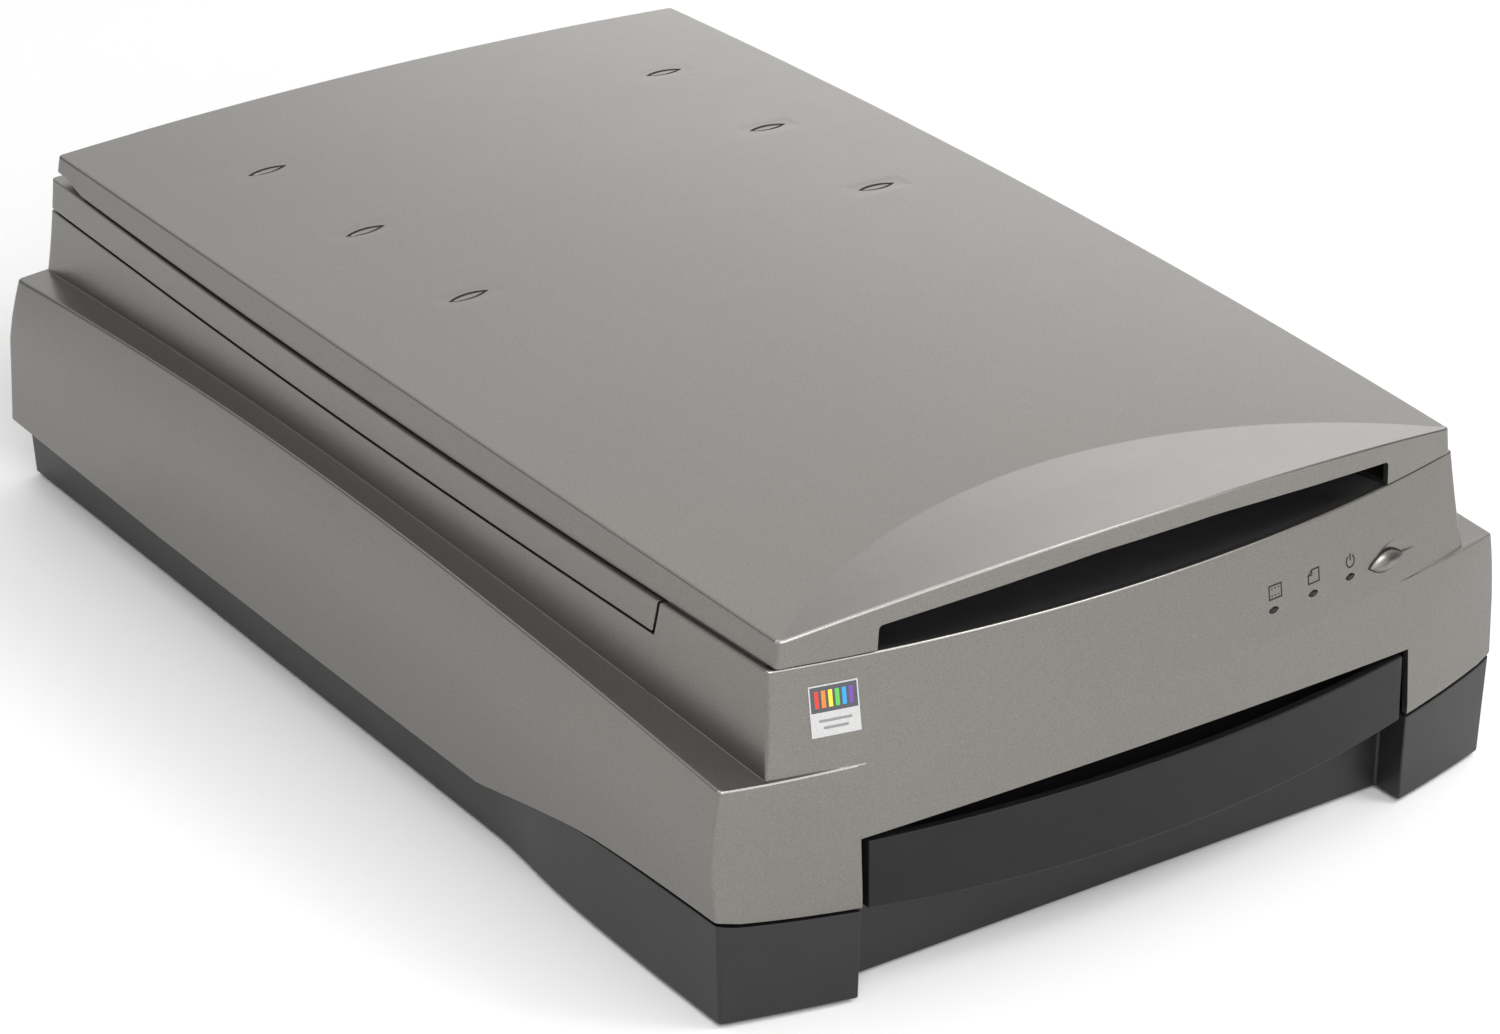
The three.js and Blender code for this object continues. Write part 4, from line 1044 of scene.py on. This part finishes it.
def base_level(share, inset=0.0, z=None):
    """A level of the base's wall: share of the way up, inset for its inner side."""
    rise = lambda x, y: z if z is not None else share * (lower_edge(x, y) - 1.6)
    crown = -30.0 - 0.6 * share + inset
    foot_y = lambda x: float(arc_y(x, crown))
    half = lambda y: float(base_half(y, share)) - inset
    cy = 0.0
    for _ in range(4):
        cx = half(cy)
        cy = foot_y(cx)
    inner_x, wall_y = OPENING_HALF + inset, MID_WALL_Y + inset
    pts = [(x, wall_y) for x in (0, 30, 60, 90, 120)]
    pts += corner_curve((inner_x - 1.5, wall_y), (inner_x, wall_y), (inner_x, wall_y - 1.5))
    tip = foot_y(inner_x)
    pts += [(inner_x, lerp(wall_y - 1.5, tip + 0.9, 0.5))]
    pts += corner_curve((inner_x, tip + 0.9), (inner_x, tip), (inner_x + 0.9, foot_y(inner_x + 0.9)))
    pts += [(x, foot_y(x)) for x in np.linspace(142, cx - 6, 7)]
    pts += corner_curve((cx - 1.6, foot_y(cx - 1.6)), (cx, cy), (half(cy + 1.6), cy + 1.6))
    ys = [8, 20, 32, 45.5, 56, 67, 76, 85, 92, 99, 106, 113, 120, 126, 133, 139, 145, 150, 155, 158.5, 160,
          161.5, 164, 170, 185] + list(range(200, 541, 20)) + [548]
    pts += [(half(y), y) for y in ys]
    back = REAR_Y - 0.8 * share - inset
    bx = half(back)
    pts += corner_curve((bx, back - 2.4), (bx, back), (bx - 2.4, back))
    pts += [(x, back) for x in (170, 140, 100, 60, 20, 0)]
    return mirrored(pts, rise)


FEET = [(-170, 12), (170, 12), (-150, 518), (150, 518)]
POST_X, POST_Y = 150.0, (26.0, 540.0)
LOCK = (96.0, 508.0)
POST_HOLE, LOCK_HOLE, FOOT_HOLE = 4.4, 12.4, 11.3  # radii
FOOT_DEPTH = 1.2
FLOOR_THICK = 3.0


def circle(x, y, radius, count=28):
    return columns(x + radius * np.cos(around(count)), y + radius * np.sin(around(count)))


def pierced_cap(skin, loop, holes, up):
    """A flat face inside a loop, with round holes left open in it."""
    outlines = [skin.at(loop)] + [skin.at(hole) for hole in holes]
    numbers = np.concatenate([loop] + list(holes))
    flat = [[Vector((x, y, 0)) for x, y, _ in outline_points] for outline_points in outlines]
    for tri in tessellate_polygon(flat):
        a, b, c = (numbers[i] for i in tri)
        skin.cap([a, b, c] if up else [c, b, a])


def base_shell():
    """The black base tub with its holes for posts, lock and feet."""
    control = [(base_level(0.0, 3.2, z=0.0), 0), (base_level(0.0, z=0.0), 0.9), (base_level(0.04), 0)]
    control += [(base_level(s), 0) for s in (0.2, 0.4, 0.6, 0.8, 0.96)]
    control += [(base_level(1.0), 0.5), (base_level(1.0, WALL), 0.3)]
    control += [(base_level(0.7, WALL), 0), (base_level(0.3, WALL), 0)]
    control += [(base_level(0.0, inset, z=FLOOR_THICK), trim) for inset, trim in ((WALL, 0.8), (5.2, 0))]
    skin, grid, _ = levelled(control, 3, closed=False)
    skin.face(quads(grid, close_u=True))
    holes = [(x, y, POST_HOLE, FLOOR_THICK) for y in POST_Y for x in (-POST_X, POST_X)]
    holes += [(*LOCK, LOCK_HOLE, FLOOR_THICK)] + [(*foot, FOOT_HOLE, FOOT_DEPTH) for foot in FEET]
    under, inside = [], []
    for x, y, radius, top in holes:
        ring = [skin.add(columns(*circle(x, y, radius).T, z)) for z in (0.0, top)]
        skin.rings(ring)
        under.append(ring[0])
        if top == FLOOR_THICK:
            inside.append(ring[1])
        else:
            skin.cap(ring[1])
    pierced_cap(skin, grid[:, 0], under, up=False)
    pierced_cap(skin, grid[:, -1], inside, up=True)
    piece("base_shell", skin, "root", BLACK,
          ["base_tub", "front_block_left", "front_block_right"], sharp=40)
    base_fittings()


def base_fittings():
    """Posts, motor boss, idler arm and tray ribs moulded with the base."""
    def block(name, place, low, high, edge, material=INNER_AND_SHADE, **options):
        extrusion(name, place, low, high, "black_plastic", material, edge=edge, **options)

    for row, y in zip(("front", "rear"), POST_Y):
        for word, x in (("left", -POST_X), ("right", POST_X)):
            top = 87.6 if x < 0 else 95.0
            block(f"post_{row}_{word}", rectangle(x - 6, x + 6, y - 6, y + 6), FLOOR_THICK + 1.2, top, 0.6)
            if x < 0:
                saddle = [(x + dx, z) for dx, z in ((-6, 87.8), (6, 87.8), (6, 99), (4.3, 99), (4.3, 92))]
                turn = np.linspace(0, -math.pi, 13)[1:]
                saddle += [(x + 4.3 * math.cos(a), 92 + 4.3 * math.sin(a)) for a in turn]
                saddle += [(x - 4.3, 99), (x - 6, 99)]
                block(f"rod_saddle_{row}", saddle, y - 6, y + 6, 0.3, along="y")
    block("motor_boss", rectangle(-144, -112, 504, 536), FLOOR_THICK, 54, 0.8)
    for word, side in (("left", -1), ("right", 1)):
        block(f"seam_rib_{word}", rectangle(*sorted((side * 164, side * 187)), 26, 29), FLOOR_THICK, 45, 0.4)
    block("idler_arm", rectangle(-143.6, -123, 28, 53), 64, 70, 0.6)
    block("idler_pin", circle(-128, 48, 2.5, 20), 70, 94, 0.4, STEEL)
    for word, x in (("left", -100), ("right", 100)):
        block("tray_rib_" + word, rectangle(x - 3, x + 3, 8, 486), FLOOR_THICK, 7.5, 0.4)


# ---- Drawer front
def drawer_front():
    """The drawer's panel, with a trough along its top for the fingers."""
    right = spaced([(108, 6.0), (111.9, 1.95), (112.1, 0.2), (126, 4.6), (DRAWER_HALF - 1.0, 2.7)])
    xs = both_sides(right)
    ends = [-DRAWER_HALF, -DRAWER_HALF + 0.3, *xs, DRAWER_HALF - 0.3, DRAWER_HALF]
    sides = []
    for x in ends:
        near = DRAWER_HALF - abs(x)
        shrink = 0.8 - math.sqrt(max(0.0, 0.64 - (0.8 - min(near, 0.8)) ** 2)) if near < 0.8 else 0.0
        low = 34.5 + 3.9 * (x / DRAWER_HALF) ** 2 + shrink
        high = DRAWER_TOP - shrink
        face = lambda z, s=shrink, px=x: float(arc_y(px, -29.0 - (DRAWER_TOP - z) / 33.0)) + s
        deep = abs(x) < 112.0
        floor = 52.0 if deep else high
        lip = float(arc_y(x, -25.0))
        sides.append([(x, -6.0 - shrink, low), (x, face(low), low), (x, face(lerp(low, high, 0.5)),
                      lerp(low, high, 0.5)), (x, face(high), high), (x, lip, high), (x, lip, floor),
                      (x, -8.3, floor), (x, -8.3, high), (x, -6.0 - shrink, high)])
    skin = Skin()
    skin.bar(rounded(np.array(sides), [0.6, 0.9, 0, 0.8, 0.6, 0.8, 0.8, 0.5, 0.5], 4))
    piece("drawer_panel", skin, "drawer", FASCIA_BLACK, ["drawer_front"])


# ---- Front details
BADGE = {"x0": -152.8, "x1": -133.1, "z0": 113.1, "z1": 133.2}


def light_pipe(x, word):
    """Smoked window over an indicator lamp."""
    skin = Skin()
    loops = []
    for size, lift in ((1.0, -5.0), (1.0, -0.35), (0.94, -0.22), (0.7, -0.05), (0.4, 0.05), (0.15, 0.08)):
        oval = eye_ring(around(32), x, LED_Z, LED_EYE[0] * size, LED_EYE[1] * size, LED_EYE[2])
        loops.append(skin.add(on_face(columns(*oval), lift)))
    skin.stack(loops)
    piece("pipe_" + word, skin, "root", LENS, ["light_pipe_" + word], sharp=50)


def stroke(skin, places, width=0.6, closed=False):
    """A thin printed line along (x, z) places on the front face."""
    p = np.asarray(places, float)
    ahead = np.roll(p, -1, axis=0) - p
    behind = p - np.roll(p, 1, axis=0)
    if not closed:
        ahead[-1], behind[0] = behind[-1], ahead[0]
    ahead /= np.linalg.norm(ahead, axis=1, keepdims=True)
    behind /= np.linalg.norm(behind, axis=1, keepdims=True)
    side = ahead + behind
    sharpness = np.maximum((1 + (ahead * behind).sum(1))[:, None], 0.6)
    side = columns(-side[:, 1], side[:, 0]) / sharpness
    near, far = p - side * width / 2, p + side * width / 2
    loops = [skin.add(on_face(place, height)) for place, height in
             ((near, -0.1), (near, 0.07), (far, 0.07), (far, -0.1))]
    skin.rings(loops + [loops[0]], closed=closed)
    if not closed:
        skin.cap([loop[0] for loop in loops])
        skin.cap([loop[-1] for loop in loops][::-1])


def icons():
    """Three plain symbols printed over the lamps: a film strip, a page and a power sign."""
    film, page, power = Skin(), Skin(), Skin()
    x, z = 58.8, 119.2
    stroke(film, rectangle(x - 3.3, x + 3.3, z - 2.7, z + 2.7), closed=True)
    for dx in (-1.8, 0.0, 1.8):
        for dz in (-1.45, 1.45):
            stroke(film, [(x + dx - 0.35, z + dz), (x + dx + 0.35, z + dz)], width=0.5)
    x, z = 80.1, 119.0
    stroke(page, [(x - 3.0, z - 2.7), (x + 3.0, z - 2.7), (x + 3.0, z + 2.7), (x - 1.0, z + 2.7),
                  (x - 3.0, z + 0.7)], closed=True)
    stroke(page, [(x - 1.0, z + 2.6), (x - 1.0, z + 0.7), (x - 2.9, z + 0.7)])
    x, z = 101.3, 118.3
    turn = np.radians(np.linspace(122, 418, 22))
    stroke(power, columns(x + 2.3 * np.cos(turn), z + 2.5 * np.sin(turn)))
    stroke(power, [(x, z + 0.3), (x, z + 3.2)])
    for word, skin in (("film", film), ("page", page), ("power", power)):
        piece("icon_" + word, skin, "root", INK, sharp=30, weighted=False)


def badge():
    """A plain sticker: a dark panel with a row of colour bars, and two grey rules below."""
    cells = 36
    skin = Skin()
    share = np.linspace(0, 1, cells + 1)
    x, z = (lerp(BADGE[axis + "0"], BADGE[axis + "1"], share) for axis in "xz")
    x, z = np.meshgrid(x, z, indexing="ij")
    flat = columns(x.ravel(), z.ravel())
    front, back = (skin.add(on_face(flat, lift)).reshape(x.shape) for lift in (0.32, 0.08))
    tags = np.zeros((cells, cells), int)
    tags[1:-1, 17:-1] = 1
    for bar in range(6):
        tags[4 + 5 * bar:7 + 5 * bar, 20:32] = 3 + bar
    tags[6:30, 10:12] = 2
    tags[9:27, 5:7] = 2
    grid = quads(front)
    for tag in range(9):
        skin.face(grid[tags == tag], tag)
    skin.face(quads(back)[..., ::-1])
    for side in (np.s_[:, 0], np.s_[:, -1], 0, -1):
        skin.rings([front[side], back[side]], closed=False)
    colours = [("sticker_white", (0.47, 0.47, 0.465)), ("sticker_slate", (0.06, 0.065, 0.075)),
               ("sticker_grey", (0.22, 0.22, 0.23)), ("bar_red", (0.55, 0.04, 0.02)),
               ("bar_orange", (0.75, 0.20, 0.02)), ("bar_yellow", (0.78, 0.62, 0.03)),
               ("bar_green", (0.08, 0.48, 0.06)), ("bar_blue", (0.02, 0.30, 0.62)),
               ("bar_violet", (0.14, 0.05, 0.32))]
    inks = [printed(name, colour, 0.28) for name, colour in colours]
    piece("badge_sheet", skin, "root", inks, ["front_badge"], weighted=False)


cover_shell()
power_button()
cover_deck()
grip_scoop()
glass_frame()
lid_shell()
base_shell()
drawer_front()
icons()
badge()
for led_x, led_word in zip(LED_X, ("film", "page", "power")):
    light_pipe(led_x, led_word)

# ---- Carried pieces
SLOT_OF = {row["node"]: row["material_slot"] for row in frame["record"].get("subparts", [])}
for name, node in NODES.items():
    if node.hide_render:
        continue
    node.data.materials.clear()
    node.data.materials.append(SLOT_MATERIAL[SLOT_OF[name]])
    node.data.shade_smooth()
    modify(node, "weld", "WELD", merge_threshold=MERGE)
    soften(node, 0.3)


# ---- Stage, lights, camera
FLOOR = 14.0  # half its width, in metres
floor_mesh = bpy.data.meshes.new("floor")
corners = [(*corner, 0) for corner in rectangle(-FLOOR, FLOOR, -FLOOR, FLOOR)]
floor_mesh.from_pydata(corners, [], [(0, 1, 2, 3)])
floor = linked("floor", floor_mesh)
floor_mesh.materials.append(mottled("floor", (0.8, 2, (0.93, 0.93, 0.93), (0.95, 0.95, 0.95)),
                                    (3, 2, 0.7, 0.8)))
floor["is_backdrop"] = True

LIT_PLACE = Vector((0, 0, 0.1))
for name, place, size, power in (("edge", (0.8, -1.0, 1.5), 0.6, 10), ("key", (-0.9, -1.9, 1.5), 1.4, 36)):
    data = bpy.data.lights.new(name, "AREA")
    data.shape = "RECTANGLE"
    data.size = data.size_y = size
    data.energy = power
    light = linked(name, data)
    light.location = place
    light.rotation_euler = (LIT_PLACE - light.location).to_track_quat("-Z", "Y").to_euler()

HORIZON, ZENITH = 0.08, 0.6
# Each glow: direction, where it starts and is full (as a cosine), and its strength.
GLOWS = [((0.66, 0.55, 0.52), 0.62, 0.98, 0.88), ((0.67, 0.73, 0.11), 0.925, 0.99, 0.85),
         ((0.25, -0.92, 0.32), 0.75, 0.97, 1.1), ((-0.45, 0.62, 0.64), 0.85, 0.98, 0.8)]


def studio_world():
    """A bright dome that darkens towards the horizon, with the glows that the metallic paint mirrors."""
    world = bpy.data.worlds.new("studio")
    world.use_nodes = True
    n = Tree(world.node_tree)
    way = n.node("ShaderNodeTexCoord", "Generated", {})
    runs = [(n.node("ShaderNodeSeparateXYZ", "Z", {0: way}), HORIZON, ZENITH, 0.05, 0.9)]
    for direction, start, full, strength in GLOWS:
        facing = n.node("ShaderNodeVectorMath", "Value", {0: way, 1: Vector(direction).normalized()},
                        operation="DOT_PRODUCT")
        runs.append((facing, 0.0, strength, start, full))
    total, *others = (n.span(*run, interpolation_type="SMOOTHSTEP") for run in runs)
    for span in others:
        total = n.node("ShaderNodeMath", 0, {0: total, 1: span}, operation="ADD")
    background = n.tree.nodes["Background"]
    n.tree.links.new(total, background.inputs["Strength"])
    background.inputs["Color"].default_value = (1, 1, 1, 1)
    return world


bpy.context.scene.world = studio_world()
bpy.context.scene.view_settings.view_transform = "Standard"

CAMERA = {"azimuth": -35.45, "elevation": 26.73, "roll": 0.81, "lens": 127.56, "sensor": 36.0,
          "far": 60.0, "place": (-1.1686, -1.65545, 1.0716)}
azimuth, elevation, roll = (math.radians(CAMERA[k]) for k in ("azimuth", "elevation", "roll"))
camera_data = bpy.data.cameras.new("camera")
camera_data.lens = CAMERA["lens"]
camera_data.sensor_width = CAMERA["sensor"]
camera_data.clip_end = CAMERA["far"]
camera = linked("camera", camera_data)
camera.matrix_world = (Matrix.Translation(CAMERA["place"]) @ Matrix.Rotation(azimuth, 4, "Z")
                       @ Matrix.Rotation(math.pi / 2 - elevation, 4, "X") @ Matrix.Rotation(roll, 4, "Z"))
bpy.context.scene.camera = camera

plain = lambda box: [[float(v) for v in corner] for corner in box]
{"cad": plain(CAD_BOX), "visual": plain(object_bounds())}
